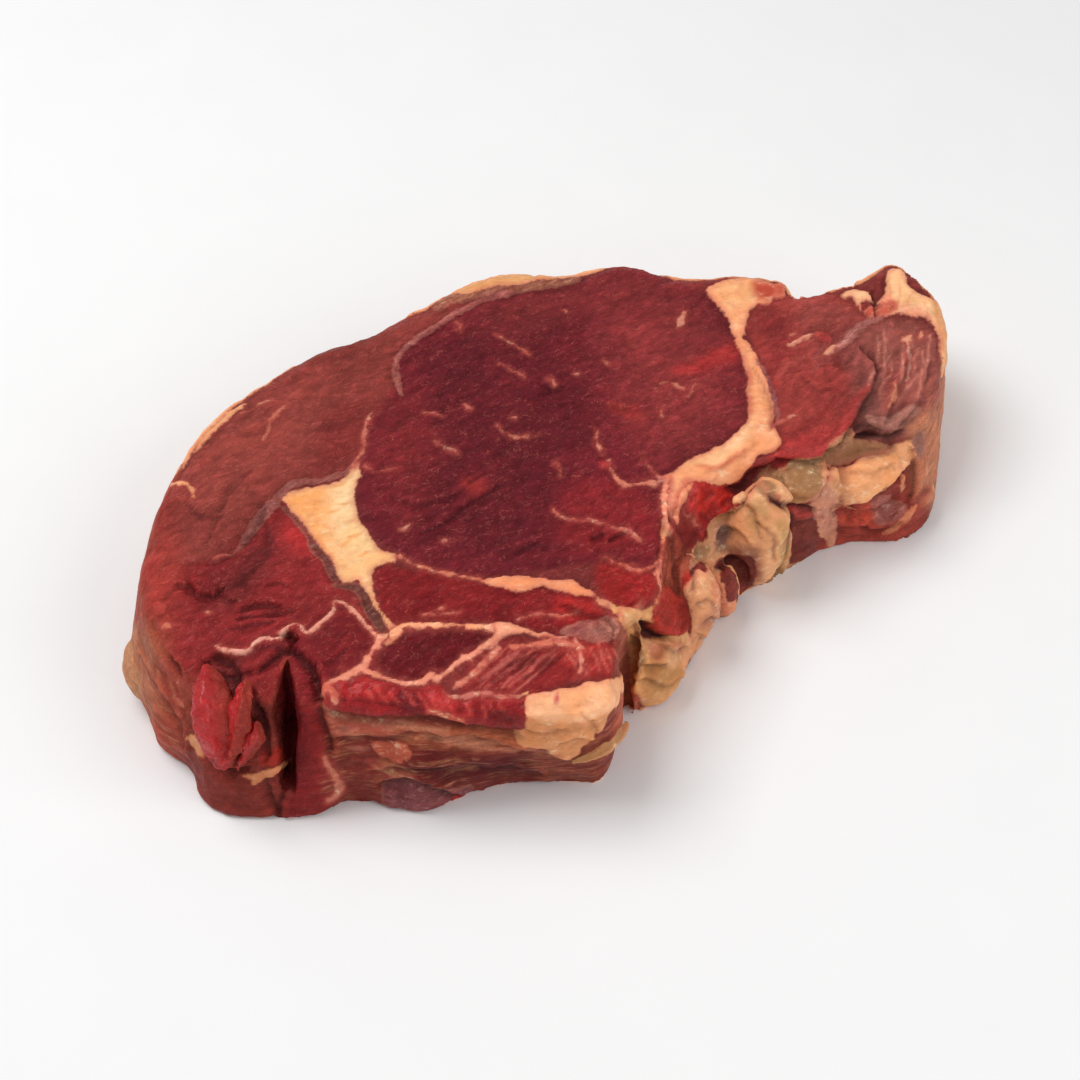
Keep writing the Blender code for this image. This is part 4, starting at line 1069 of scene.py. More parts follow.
        ([(-70, 14, 0.8), (-50, 18, 1.8), (-28, 15, 1.8), (-8, 13, 0.8)], 0.6, 0.3, 0.3),
        ([(16, 26, 0.8), (24, 20, 1.6), (34, 12, 1.4), (44, 5, 0.8)], 0.7, 0.3, 0.3),
        ([(64, 32, 0.8), (66, 20, 1.8), (68, 8, 0.8)], 0.9, 0.3, 0.4),
    ],
}

@dataclass
class Painter:
    """Lays marks of tissue over the body, and keeps the depth of each tissue and the tones of its parts."""

    places: Places
    far: float = 6.0
    fibres: float = math.radians(34)
    depth: dict[Tissue, Array] = field(init=False)
    tone: dict[str, Array] = field(init=False)
    lift: Array = field(init=False)
    shade: Array = field(init=False)

    SHEEN = {"lean": (1.18, 0.92, 0.95), "fat": (1.06, 0.98, 0.95), "skin": (1.22, 1.06, 1.02)}
    GROUPS = {
        Tissue.LEAN: "lean", Tissue.RAW: "lean", Tissue.FILM: "lean",
        Tissue.FAT: "fat", Tissue.SEAM: "fat", Tissue.SKIN: "skin",
    }

    def __post_init__(self) -> None:
        """Starts from bare lean meat."""
        count = len(self.places.points)
        self.depth = {tissue: np.full(count, -self.far) for tissue in Tissue if tissue is not Tissue.LEAN}
        start = {"lean": linear(130, 56, 52), "fat": linear(*CREAM), "skin": linear(140, 88, 80)}
        self.tone = {group: np.tile(np.array(tone), (count, 1)) for group, tone in start.items()}
        self.lift = np.zeros(count)
        self.shade = np.zeros(count)

    def tint(self, group: str, share: Array, tone: Rgb) -> None:
        """Moves a group's tone towards another by a share for each point."""
        self.tone[group] += share[:, None] * (np.array(tone) - self.tone[group])

    def muscles(self) -> None:
        """Lays the tones of the muscles and of the walls."""
        for _name, outline, tone, border in MUSCLE_TONES:
            line = smooth_line(outline, 3, True)
            inside = within_outline(self.places.flat[Side.CUT], line)
            self.tint("lean", ramp(inside, -border, border), linear(*tone))
        for side, outline, tone, border in WALL_TONES:
            inside = within_outline(self.places.flat[side], np.array(outline, dtype=float))
            inside = np.minimum(inside, np.minimum(self.places.edge[side], self.places.wall + 0.7) - 1.0)
            self.tint("lean", ramp(inside, -border, border), linear(*tone))

    def lay(self, mark: Mark) -> None:
        """Lays one mark over what is there.

        Args:
            mark: the tissue, its borders, its tone and how far it stands proud.
        """
        inside = mark.depth(self.places, self.far)
        if mark.stain:
            self.tint(self.GROUPS[mark.tissue], ramp(inside, -mark.stain, mark.stain), mark.tone)
            return
        for tissue, own in self.depth.items():
            own_mark = tissue is mark.tissue
            self.depth[tissue] = np.maximum(own, inside) if own_mark else np.minimum(own, -inside)
        if mark.tone is not None:
            group = self.GROUPS[mark.tissue]
            border = (-mark.blend, mark.blend) if group == "lean" else (-1.8, -0.5)
            self.tint(group, ramp(inside, *border), mark.tone)
        rise = mark.lift * (0.35 if mark.tissue is Tissue.SEAM else 0.8)
        self.lift += rise * ramp(inside, -0.5, 0.7)

    def press(self, crease: Crease) -> None:
        """Presses one crease into the body.

        Args:
            crease: its line, depth, lip and how dark the painted shade in it lies.
        """
        flat, edge = self.places.flat[crease.side], self.places.edge[crease.side]
        line = smooth_line(list(crease.points), 4, False)
        near = np.all((flat > line[:, :2].min(axis=0) - 8) & (flat < line[:, :2].max(axis=0) + 8), axis=1)
        across, width = across_line(flat[near], line)
        reach = width * np.where(across > 0, crease.steep, crease.slow) + np.where(across > 0, 0.12, 0.3)
        hold = ramp(edge[near], -1.0, 1.0)
        pit = np.exp(-((across / reach) ** 2)) * hold
        beside = np.exp(-(((across - 0.9 * width - 0.3) / (0.7 * width + 0.3)) ** 2)) * hold
        self.lift[near] += 1.3 * crease.lip * beside - crease.depth * pit
        core = np.exp(-((across / (0.32 * width + 0.16)) ** 2)) * hold
        self.shade[near] = np.maximum(self.shade[near], crease.shade * (0.7 * core + 0.3 * pit))

    def work(self) -> None:
        """Lays every muscle, mark and crease."""
        self.muscles()
        for mark in MARKS:
            self.lay(mark)
        for side, rows in CREASES.items():
            for row in rows:
                self.press(Crease(side, *row))

    def values(self) -> dict[str, Array]:
        """What the body's points carry for its finish, by name."""
        depths = {f"depth_{tissue.value}": depth for tissue, depth in self.depth.items()}
        tones = {f"{group}_tone": tone * self.SHEEN[group] for group, tone in self.tone.items()}
        return {**depths, **tones, "grain": self.grain(), "wall": self.places.wall, "shade": self.shade}

    def grain(self) -> Array:
        """Coordinates, in millimetres, whose first axis runs along the fibres."""
        c, s = math.cos(self.fibres), math.sin(self.fibres)
        x, y, z = self.places.points.T
        return np.column_stack((x * c + y * s, y * c - x * s, z))


def hollows(mesh: bpy.types.Mesh, rounds: int = 14) -> Array:
    """How far each point lies below its surroundings, in millimetres, negative on crests.

    Args:
        mesh: the body's mesh.
        rounds: how often the surroundings are evened out.

    Returns:
        One number for each point.
    """
    points, normals, faces = read_points(mesh), read_normals(mesh), read_faces(mesh)
    start, end = faces.ravel(), np.roll(faces, -1, axis=1).ravel()
    count = np.bincount(start, minlength=len(points)) + np.bincount(end, minlength=len(points))
    level = points.copy()
    for _ in range(rounds):
        level = np.column_stack([
            (np.bincount(start, axis[end], len(points)) + np.bincount(end, axis[start], len(points))) / count
            for axis in level.T])
    return ((level - points) * normals).sum(axis=1)


def store(mesh: bpy.types.Mesh, name: str, values: Array) -> None:
    """Keeps values on the mesh's points: one number, or three as a vector, for each."""
    kind = "FLOAT" if values.ndim == 1 else "FLOAT_VECTOR"
    layer = mesh.attributes.new(name, kind, "POINT")
    layer.data.foreach_set("value" if values.ndim == 1 else "vector", values.astype(np.float32).ravel())


@dataclass
class Relief:
    """The body's own uneven surface: cut meat, layered film, lumpy fat and crowned muscles."""

    cut_swell: float = 0.30
    cut_ripple: float = 0.30
    wall_lump: float = 0.50
    wall_layer: float = 0.26
    fat_lump: float = 0.13
    seam_sink: float = 0.42
    seam_reach: float = 1.5

    def heights(self, painter: Painter) -> Array:
        """How far each point moves along its normal.

        Args:
            painter: the tissues that the relief follows.

        Returns:
            Millimetres, one for each point.
        """
        places = painter.places
        points, rough = places.points, Lattice(3)
        fine = Lattice(11)
        wall = ramp(places.wall, -1.0, 1.0)
        upper = ramp(points[:, 2], 4.0, 12.0)
        covered = np.max(list(painter.depth.values()), axis=0)
        grain = painter.grain()
        cut = self.cut_swell * rough.layered(points / 11.0, 2) + self.cut_ripple * fine.layered(
            grain * (0.24, 0.42, 0.4), 4, 0.62)
        layers = points * (0.06, 0.06, 0.36) + 0.2 * np.column_stack([rough.at(points / 14.0)] * 3)
        walls = self.wall_lump * rough.layered(points / 6.5, 3)
        walls = walls + self.wall_layer * fine.layered(layers, 3, 0.6)
        heights = cut * (1 - wall) * (0.35 + 0.65 * upper) + walls * wall
        fat = ramp(painter.depth[Tissue.FAT], -0.4, 0.8)
        heights += fat * self.fat_lump * fine.layered(points / 2.6, 3, 0.55)
        raw = ramp(painter.depth[Tissue.RAW], -0.4, 0.8)
        torn = 0.5 * fine.layered(points / 3.1 + 3.0, 2, 0.6) + 0.22 * fine.layered(points / 1.3, 2)
        heights += raw * torn
        lean_gap = np.clip(-covered, 0, None)
        sink = self.seam_sink * np.exp(-lean_gap / self.seam_reach)
        heights -= sink * (1 - wall) * ramp(-covered, -0.3, 0.4)
        return heights + painter.lift


def swell_height(points: Array) -> Array:
    """How far the upper cut face stands over the plain thickness, in millimetres."""
    height = np.zeros(len(points))
    for (cx, cy), (rx, ry), turn, rise in SWELLS:
        c, s = math.cos(math.radians(turn)), math.sin(math.radians(turn))
        along = ((points[:, 0] - cx) * c + (points[:, 1] - cy) * s) / rx
        across = ((points[:, 1] - cy) * c - (points[:, 0] - cx) * s) / ry
        height += rise * np.exp(-(along**2 + across**2))
    return height * np.clip(points[:, 2] / THICKNESS, 0, 1) ** 1.5


# ------------------------------------------------------------------ finishes


@dataclass
class Board:
    """A node tree, and short ways to lay nodes in it."""

    tree: bpy.types.NodeTree

    def add(self, kind: str, **settings) -> bpy.types.Node:
        """A new node with its settings."""
        node = self.tree.nodes.new(kind)
        for name, value in settings.items():
            setattr(node, name, value)
        return node

    def feed(self, socket: bpy.types.NodeSocket, value: object) -> None:
        """Links a socket's source to it, or sets its own value."""
        if isinstance(value, bpy.types.NodeSocket):
            self.tree.links.new(value, socket)
        else:
            socket.default_value = (*value, 1.0) if socket.type == "RGBA" and len(value) == 3 else value

    def read(self, name: str, part: str = "Fac") -> bpy.types.NodeSocket:
        """What the mesh keeps under a name."""
        return self.add("ShaderNodeAttribute", attribute_name=name).outputs[part]

    def math(self, operation: str, a: object, b: object = 0.0) -> bpy.types.NodeSocket:
        """One sum of two numbers."""
        node = self.add("ShaderNodeMath", operation=operation)
        self.feed(node.inputs[0], a)
        self.feed(node.inputs[1], b)
        return node.outputs[0]

    def times(self, a: object, b: object) -> bpy.types.NodeSocket:
        """The product of two numbers."""
        return self.math("MULTIPLY", a, b)

    def plus(self, a: object, b: object) -> bpy.types.NodeSocket:
        """The sum of two numbers."""
        return self.math("ADD", a, b)

    def off(self, a: object, b: float) -> bpy.types.NodeSocket:
        """How far a number is from another, whichever way."""
        return self.math("ABSOLUTE", self.math("SUBTRACT", a, b))

    def place_mm(self) -> bpy.types.NodeSocket:
        """The object's own coordinates, in millimetres."""
        return self.stretch(self.add("ShaderNodeTexCoord").outputs["Object"], (1 / MM,) * 3)

    def bump(self, shader: bpy.types.Node, height: object, strength: float, millimetres: float) -> None:
        """Gives the shader fine relief."""
        node = self.add("ShaderNodeBump")
        node.inputs["Strength"].default_value = strength
        node.inputs["Distance"].default_value = millimetres * MM
        self.feed(node.inputs["Height"], height)
        self.feed(shader.inputs["Normal"], node.outputs[0])

    def stretch(self, vector: object, scale: tuple[float, float, float]) -> bpy.types.NodeSocket:
        """A vector scaled along each axis."""
        node = self.add("ShaderNodeVectorMath", operation="MULTIPLY")
        self.feed(node.inputs[0], vector)
        node.inputs[1].default_value = scale
        return node.outputs[0]

    def noise(self, vector: object, scale: float, detail: float = 2.0, rough: float = 0.5,
              distortion: float = 0.0) -> bpy.types.NodeSocket:
        """Noise from 0 to 1 over a vector."""
        node = self.add("ShaderNodeTexNoise")
        self.feed(node.inputs["Vector"], vector)
        values = {"Scale": scale, "Detail": detail, "Roughness": rough, "Distortion": distortion}
        for name, value in values.items():
            node.inputs[name].default_value = value
        return node.outputs["Fac"]

    def step(self, value: object, low: float, high: float, to_low: float = 0.0,
             to_high: float = 1.0) -> bpy.types.NodeSocket:
        """A smooth step of a value."""
        node = self.add("ShaderNodeMapRange", interpolation_type="SMOOTHSTEP")
        self.feed(node.inputs["Value"], value)
        for name, number in (("From Min", low), ("From Max", high), ("To Min", to_low), ("To Max", to_high)):
            node.inputs[name].default_value = number
        return node.outputs["Result"]

    def mix(self, share: object, a: object, b: object) -> bpy.types.NodeSocket:
        """A mix of two colours."""
        node = self.add("ShaderNodeMix", data_type="RGBA")
        self.feed(node.inputs[0], share)
        self.feed(node.inputs[6], a)
        self.feed(node.inputs[7], b)
        return node.outputs[2]

    def blend(self, share: object, a: object, b: object) -> bpy.types.NodeSocket:
        """A mix of two numbers."""
        node = self.add("ShaderNodeMix", data_type="FLOAT")
        self.feed(node.inputs[0], share)
        self.feed(node.inputs[2], a)
        self.feed(node.inputs[3], b)
        return node.outputs[0]

    def dim(self, colour: object, factor: object) -> bpy.types.NodeSocket:
        """A colour times a number."""
        node = self.add("ShaderNodeVectorMath", operation="SCALE")
        self.feed(node.inputs[0], colour)
        self.feed(node.inputs["Scale"], factor)
        return node.outputs[0]

    def place(self, group: bpy.types.NodeTree, **inputs) -> bpy.types.Node:
        """A shader node group with its inputs."""
        node = self.add("ShaderNodeGroup", node_tree=group)
        for name, value in inputs.items():
            self.feed(node.inputs[name], value)
        return node


def new_group(name: str, takes: dict[str, str], gives: dict[str, str]) -> tuple[Board, dict, bpy.types.Node]:
    """An empty shader node group.

    Args:
        name: its name.
        takes: kinds of its input sockets by name.
        gives: kinds of its output sockets by name.

    Returns:
        Its board, its input sockets by name, and its output node.
    """
    tree = bpy.data.node_groups.new(name, "ShaderNodeTree")
    for way, sockets in (("INPUT", takes), ("OUTPUT", gives)):
        for socket, kind in sockets.items():
            tree.interface.new_socket(socket, in_out=way, socket_type=f"NodeSocket{kind}")
    board = Board(tree)
    source = board.add("NodeGroupInput")
    return board, source.outputs, board.add("NodeGroupOutput")


GIVES = {"Colour": "Color", "Roughness": "Float", "Height": "Float"}


class LeanGrain:
    """Cut lean meat: soft blotches, torn ridges of fibre bundles, short dark cuts and threads of fat."""

    thread = linear(188, 104, 90)
    clot = linear(160, 44, 42)

    def build(self) -> bpy.types.NodeTree:
        """The node group; Grain is in millimetres, and Flecks is how much marbling there is."""
        sockets = {"Tone": "Color", "Grain": "Vector", "Flecks": "Float"}
        board, takes, end = new_group("lean_grain", sockets, GIVES)
        grain = takes["Grain"]
        broad = board.noise(grain, 0.07, 3.0, 0.55, 0.3)
        bundle = board.noise(board.stretch(grain, (0.22, 0.46, 0.4)), 1.0, 5.0, 0.62, 1.0)
        mottle = board.noise(board.stretch(grain, (0.6, 1.0, 0.9)), 1.0, 4.0, 0.6, 0.7)
        fine = board.noise(board.stretch(grain, (2.2, 3.4, 3.0)), 1.0, 3.0, 0.65)
        crest = board.off(bundle, 0.5)
        cleft = board.step(crest, 0.035, 0.0)
        tone = board.dim(takes["Tone"], board.step(broad, 0.3, 0.7, 0.86, 1.16))
        tone = board.dim(tone, board.step(mottle, 0.25, 0.75, 0.89, 1.12))
        tone = board.dim(tone, board.step(cleft, 0.0, 1.0, 1.0, 0.78))
        tone = board.dim(tone, board.step(fine, 0.2, 0.8, 0.95, 1.05))
        clots = board.times(board.step(mottle, 0.56, 0.70), board.step(broad, 0.52, 0.62))
        tone = board.mix(board.times(clots, 0.45), tone, self.clot)
        web = board.noise(board.stretch(grain, (0.26, 0.34, 0.3)), 1.0, 4.0, 0.6, 0.9)
        line = board.off(web, 0.53)
        line = board.times(board.step(line, 0.016, 0.0), board.step(mottle, 0.44, 0.56, 0.0, 0.85))
        speck = board.step(board.noise(grain, 1.1, 3.0, 0.6, 0.6), 0.67, 0.76, 0.0, 0.8)
        speck = board.times(speck, board.step(broad, 0.60, 0.46))
        pale = board.times(board.math("MAXIMUM", line, speck), takes["Flecks"])
        board.feed(end.inputs["Colour"], board.mix(pale, tone, self.thread))
        dull = board.step(mottle, 0.3, 0.7, 0.38, 0.58)
        board.feed(end.inputs["Roughness"], board.plus(dull, board.step(fine, 0.3, 0.7, -0.06, 0.06)))
        height = board.plus(board.times(board.step(crest, 0.0, 0.12), 0.5), board.times(mottle, 0.40))
        board.feed(end.inputs["Height"], board.plus(height, board.times(fine, 0.12)))
        return board.tree


class FatGrain:
    """Soft fat: smooth where it was sliced clean, and paler and crumbly where it tore."""

    deep = (0.95, 0.84, 0.72)
    torn = linear(255, 226, 184)
    blush = linear(226, 130, 104)

    def build(self) -> bpy.types.NodeTree:
        """The node group; Place is in millimetres."""
        board, takes, end = new_group("fat_grain", {"Tone": "Color", "Place": "Vector"}, GIVES)
        place = takes["Place"]
        broad = board.noise(place, 0.13, 3.0, 0.5, 0.5)
        pinks = board.noise(board.stretch(place, (0.17, 0.2, 0.3)), 1.0, 3.0, 0.55, 0.8)
        streak = board.noise(board.stretch(place, (0.50, 0.80, 0.7)), 1.0, 5.0, 0.62, 0.6)
        fine = board.noise(place, 2.6, 3.0, 0.6)
        deeper = board.stretch(takes["Tone"], self.deep)
        tone = board.mix(board.step(broad, 0.30, 0.74), takes["Tone"], deeper)
        tone = board.mix(board.step(pinks, 0.52, 0.80, 0.0, 0.35), tone, self.blush)
        torn = board.times(board.step(streak, 0.50, 0.78, 0.0, 0.7), board.step(broad, 0.66, 0.40))
        tone = board.mix(torn, tone, self.torn)
        tone = board.dim(tone, board.step(streak, 0.24, 0.52, 0.84, 1.0))
        tone = board.dim(tone, board.step(fine, 0.25, 0.75, 0.95, 1.05))
        board.feed(end.inputs["Colour"], tone)
        board.feed(end.inputs["Roughness"], board.step(streak, 0.3, 0.7, 0.42, 0.58))
        height = board.plus(board.times(streak, 0.7), board.times(fine, 0.16))
        board.feed(end.inputs["Height"], height)
        return board.tree


class SkinGrain:
    """Silverskin and sinew: a pearly sheet with faint parallel strands, thin in places."""

    pearl = linear(206, 160, 150)

    def build(self) -> bpy.types.NodeTree:
        """The node group; Place is in millimetres, and Height also says where the sheet is thick."""
        board, takes, end = new_group("skin_grain", {"Tone": "Color", "Place": "Vector"}, GIVES)
        strands = board.noise(board.stretch(takes["Place"], (0.34, 1.25, 0.9)), 1.0, 5.0, 0.66, 1.0)
        broad = board.noise(takes["Place"], 0.35, 3.0, 0.6, 0.6)
        tone = board.dim(takes["Tone"], board.step(strands, 0.3, 0.7, 0.74, 1.26))
        tone = board.dim(tone, board.step(broad, 0.3, 0.7, 0.82, 1.18))
        tone = board.mix(board.step(strands, 0.56, 0.72, 0.0, 0.55), tone, self.pearl)
        board.feed(end.inputs["Colour"], tone)
        board.feed(end.inputs["Roughness"], board.step(strands, 0.3, 0.7, 0.50, 0.36))
        board.feed(end.inputs["Height"], board.plus(board.times(strands, 0.6), board.times(broad, 0.4)))
        return board.tree


class FilmGrain:
    """Dried film over the walls: tan and brown strands that lie along the steak in layers."""

    tan = linear(184, 116, 78)
    dark = linear(82, 30, 28)
    pale = linear(196, 126, 96)

    def build(self) -> bpy.types.NodeTree:
        """The node group; Place is in millimetres."""
        board, takes, end = new_group("film_grain", {"Tone": "Color", "Place": "Vector"}, GIVES)
        place = takes["Place"]
        sway = board.add("ShaderNodeCombineXYZ")
        board.feed(sway.inputs["Z"], board.times(board.noise(place, 0.06, 1.0, 0.5), 7.0))
        bent = board.add("ShaderNodeVectorMath", operation="ADD")
        board.feed(bent.inputs[0], place)
        board.feed(bent.inputs[1], sway.outputs[0])
        layer = board.noise(board.stretch(bent.outputs[0], (0.06, 0.06, 0.40)), 1.0, 5.0, 0.66)
        thread = board.noise(board.stretch(bent.outputs[0], (0.20, 0.20, 1.7)), 1.0, 4.0, 0.66)
        patch = board.noise(place, 0.16, 3.0, 0.6, 0.4)
        mottle = board.noise(place, 1.1, 4.0, 0.65)
        tone = board.dim(takes["Tone"], board.step(thread, 0.3, 0.7, 0.84, 1.18))
        tone = board.dim(tone, board.step(mottle, 0.3, 0.7, 0.82, 1.18))
        tone = board.mix(board.step(layer, 0.50, 0.28, 0.0, 0.45), tone, self.dark)
        tans = board.times(board.step(layer, 0.48, 0.68, 0.0, 0.6), board.step(patch, 0.40, 0.62))
        tone = board.mix(tans, tone, self.tan)
        pales = board.times(board.step(thread, 0.52, 0.66, 0.0, 0.6), board.step(patch, 0.40, 0.58))
        tone = board.mix(pales, tone, self.pale)
        board.feed(end.inputs["Colour"], tone)
        board.feed(end.inputs["Roughness"], board.step(thread, 0.3, 0.7, 0.60, 0.44))
        height = board.plus(board.times(thread, 0.5), board.times(mottle, 0.35))
        board.feed(end.inputs["Height"], height)
        return board.tree


@dataclass(frozen=True)
class Gloss:
    """How moist flesh takes light, the same over a whole piece."""

    specular: float = 0.16
    ior: float = 1.40
    coat_roughness: float = 0.16
    soft_weight: float = 0.10
    soft_scale: float = 0.0022
    soft_radius: Rgb = (1.0, 0.32, 0.20)

    def set_on(self, shader: bpy.types.Node) -> None:
        """Sets the shader's plain sockets."""
        shader.inputs["Specular IOR Level"].default_value = self.specular
        shader.inputs["IOR"].default_value = self.ior
        shader.inputs["Coat Roughness"].default_value = self.coat_roughness
        shader.inputs["Subsurface Weight"].default_value = self.soft_weight
        shader.inputs["Subsurface Scale"].default_value = self.soft_scale
        shader.inputs["Subsurface Radius"].default_value = self.soft_radius


def new_material(name: str, gloss: Gloss | None = None) -> tuple[bpy.types.Material, Board, bpy.types.Node]:
    """A new material.

    Args:
        name: its name.
        gloss: how it takes light, or None for the shader's own way.

    Returns:
        The material, its board and its shader.
    """
    material = bpy.data.materials.new(name)
    material.use_nodes = True
    shader = material.node_tree.nodes["Principled BSDF"]
    if gloss is not None:
        gloss.set_on(shader)
    return material, Board(material.node_tree), shader


@dataclass
class Larder:
    """The node groups that the finishes share."""

    lean: bpy.types.NodeTree = field(default_factory=lambda: LeanGrain().build())
    fat: bpy.types.NodeTree = field(default_factory=lambda: FatGrain().build())
    skin: bpy.types.NodeTree = field(default_factory=lambda: SkinGrain().build())
    film: bpy.types.NodeTree = field(default_factory=lambda: FilmGrain().build())


@dataclass(frozen=True)
class SteakFinish:
    """The body's finish: each tissue's own grain, laid where its depth says."""

    larder: Larder
    gloss: Gloss = Gloss()
    border_rag: float = 1.3
    thin_rag: float = 0.65
    rim: Rgb = linear(206, 136, 116)
    blush: Rgb = linear(196, 84, 74)
    rosy: Rgb = linear(214, 122, 98)
    # deep: the dark red-brown mixed in as painted shade where creases lie
    deep: Rgb = linear(60, 10, 16)
    bump: float = 0.75
    bump_mm: float = 0.6

    def build(self) -> bpy.types.Material:
        """The finish as a material."""
        material, board, shader = new_material("raw_beef_dressed", self.gloss)
        place = board.place_mm()
        grain = board.read("grain", "Vector")
        rag = board.math("SUBTRACT", board.noise(place, 0.85, 4.0, 0.62), 0.5)
        uneven = board.step(board.noise(place, 0.42, 3.0, 0.6), 0.3, 0.7, -0.32, 0.30)
        lean_tone = board.read("lean_tone", "Vector")
        fat_tone, skin_tone = board.read("fat_tone", "Vector"), board.read("skin_tone", "Vector")
        wall = board.read("wall")
        flecks = board.step(wall, -1.0, 1.0, 0.6, 0.0)
        lean = board.place(self.larder.lean, Tone=lean_tone, Grain=grain, Flecks=flecks)
        film = board.place(self.larder.film, Tone=lean_tone, Place=place)
        skin = board.place(self.larder.skin, Tone=skin_tone, Place=grain)
        fat = board.place(self.larder.fat, Tone=fat_tone, Place=place)
        colour, rough, height = (lean.outputs[name] for name in GIVES)
        for tissue, group, ragged, soft in (
            (Tissue.FILM, film, 2.0, 1.6),
            (Tissue.SKIN, skin, self.border_rag, 0.6),
            (Tissue.FAT, fat, self.border_rag, 0.34),
            (Tissue.SEAM, fat, self.thin_rag, 0.38),
        ):
            depth = board.plus(board.read(f"depth_{tissue.value}"), board.times(rag, ragged))
            if tissue is Tissue.SEAM:
                depth = board.plus(depth, uneven)
                blush = board.step(depth, -1.5, 0.1, 0.0, 0.42)
                colour = board.mix(blush, colour, self.blush)
            mask = board.step(depth, -soft, soft)
            if tissue is Tissue.SKIN:
                mask = board.times(mask, board.step(group.outputs["Height"], 0.40, 0.58, 0.55, 0.95))
                rim = board.step(board.math("ABSOLUTE", board.plus(depth, 0.1)), 0.45, 0.1, 0.0, 0.45)
                edged = board.mix(rim, group.outputs["Colour"], self.rim)
                colour = board.mix(board.math("MAXIMUM", mask, rim), colour, edged)
                continue
            own = group.outputs["Colour"]
            if tissue is Tissue.FAT:
                near, level = board.step(depth, 1.7, 0.1, 0.0, 0.55), board.step(wall, -0.5, 1.0, 1.0, 0.25)
                own = board.mix(board.times(near, level), own, self.rosy)
            colour = board.mix(mask, colour, own)
            rough = board.blend(mask, rough, group.outputs["Roughness"])
            height = board.blend(mask, height, group.outputs["Height"])
        wet = board.step(board.plus(board.read("depth_raw"), board.times(rag, 2.0)), -0.5, 0.5)
        rough = board.blend(board.times(wet, 0.45), rough, 0.24)
        # painted shade and painted highlight: colour darkened where the surface lies below its surroundings,
        # lightened on crests
        hollow = board.read("hollow")
        colour = board.dim(colour, board.step(hollow, -0.30, 0.36, 1.13, 0.74))
        speck = board.step(board.noise(place, 1.25, 4.0, 0.7, 0.4), 0.60, 0.72, 0.0, 0.6)
        colour = board.mix(board.times(wet, speck), colour, self.blush)
        # painted shade in creases: colour darkened and mixed towards the deep red-brown
        shade = board.read("shade")
        colour = board.dim(colour, board.step(shade, 0.0, 1.0, 1.0, 0.22))
        colour = board.mix(board.times(shade, 0.35), colour, self.deep)
        board.feed(shader.inputs["Base Color"], colour)
        board.feed(shader.inputs["Roughness"], rough)
        board.feed(shader.inputs["Coat Weight"], board.times(wet, 0.15))
        board.bump(shader, height, self.bump, self.bump_mm)
        return material


@dataclass(frozen=True)
class WetMeatFinish:
    """A loose tongue of meat: bright, wet and finely pitted, one long side duller and browner: partly drier,
    partly painted shade.
    """

    larder: Larder
    # bright: the lit, wetter side's red; dull: the other side's browner red, partly painted shade
    bright: Rgb = linear(192, 44, 45)
    dull: Rgb = linear(158, 54, 42)
    glint: Rgb = linear(232, 160, 146)
    gloss: Gloss = Gloss(specular=0.26, soft_weight=0.14)
    bump: float = 0.6
    bump_mm: float = 0.5

    def build(self) -> bpy.types.Material:
        """The finish as a material."""
        material, board, shader = new_material("wet_meat", self.gloss)
        place = board.place_mm()
        # painted light and shade by side: colour runs from the dull to the bright red across the tongue; the
        # bright side is also glossier
        lit_and_wet = board.read("lit_and_wet")
        tone = board.mix(lit_and_wet, self.dull, self.bright)
        lean = board.place(self.larder.lean, Tone=tone, Grain=place, Flecks=0.0)
        # painted highlights: pale glint specks along the tongue's ridge
        speck = board.noise(place, 1.7, 3.0, 0.7)
        glint = board.times(board.step(speck, 0.6, 0.72), board.read("ridge"))
        colour = board.mix(board.times(glint, 0.7), lean.outputs["Colour"], self.glint)
        board.feed(shader.inputs["Base Color"], colour)
        rough = board.blend(board.times(lit_and_wet, 0.4), lean.outputs["Roughness"], 0.2)
        board.feed(shader.inputs["Roughness"], rough)
        board.feed(shader.inputs["Coat Weight"], board.times(lit_and_wet, 0.25))
        height = board.plus(lean.outputs["Height"], board.times(speck, 0.5))
        board.bump(shader, height, self.bump, self.bump_mm)
        return material


@dataclass(frozen=True)
class FatFinish:
    """Loose fat and sinew, of one tint."""

    larder: Larder
    name: str
    tone: Rgb
    gloss: Gloss = Gloss(specular=0.25, soft_weight=0.2)
    bump: float = 0.5
    bump_mm: float = 0.4

    def build(self) -> bpy.types.Material:
        """The finish as a material."""
        material, board, shader = new_material(self.name, self.gloss)
        place = board.place_mm()
        fat = board.place(self.larder.fat, Tone=self.tone, Place=place)
        board.feed(shader.inputs["Base Color"], fat.outputs["Colour"])
        board.feed(shader.inputs["Roughness"], fat.outputs["Roughness"])
        board.bump(shader, fat.outputs["Height"], self.bump, self.bump_mm)
        return material


# ------------------------------------------------------------------ sub-assemblies


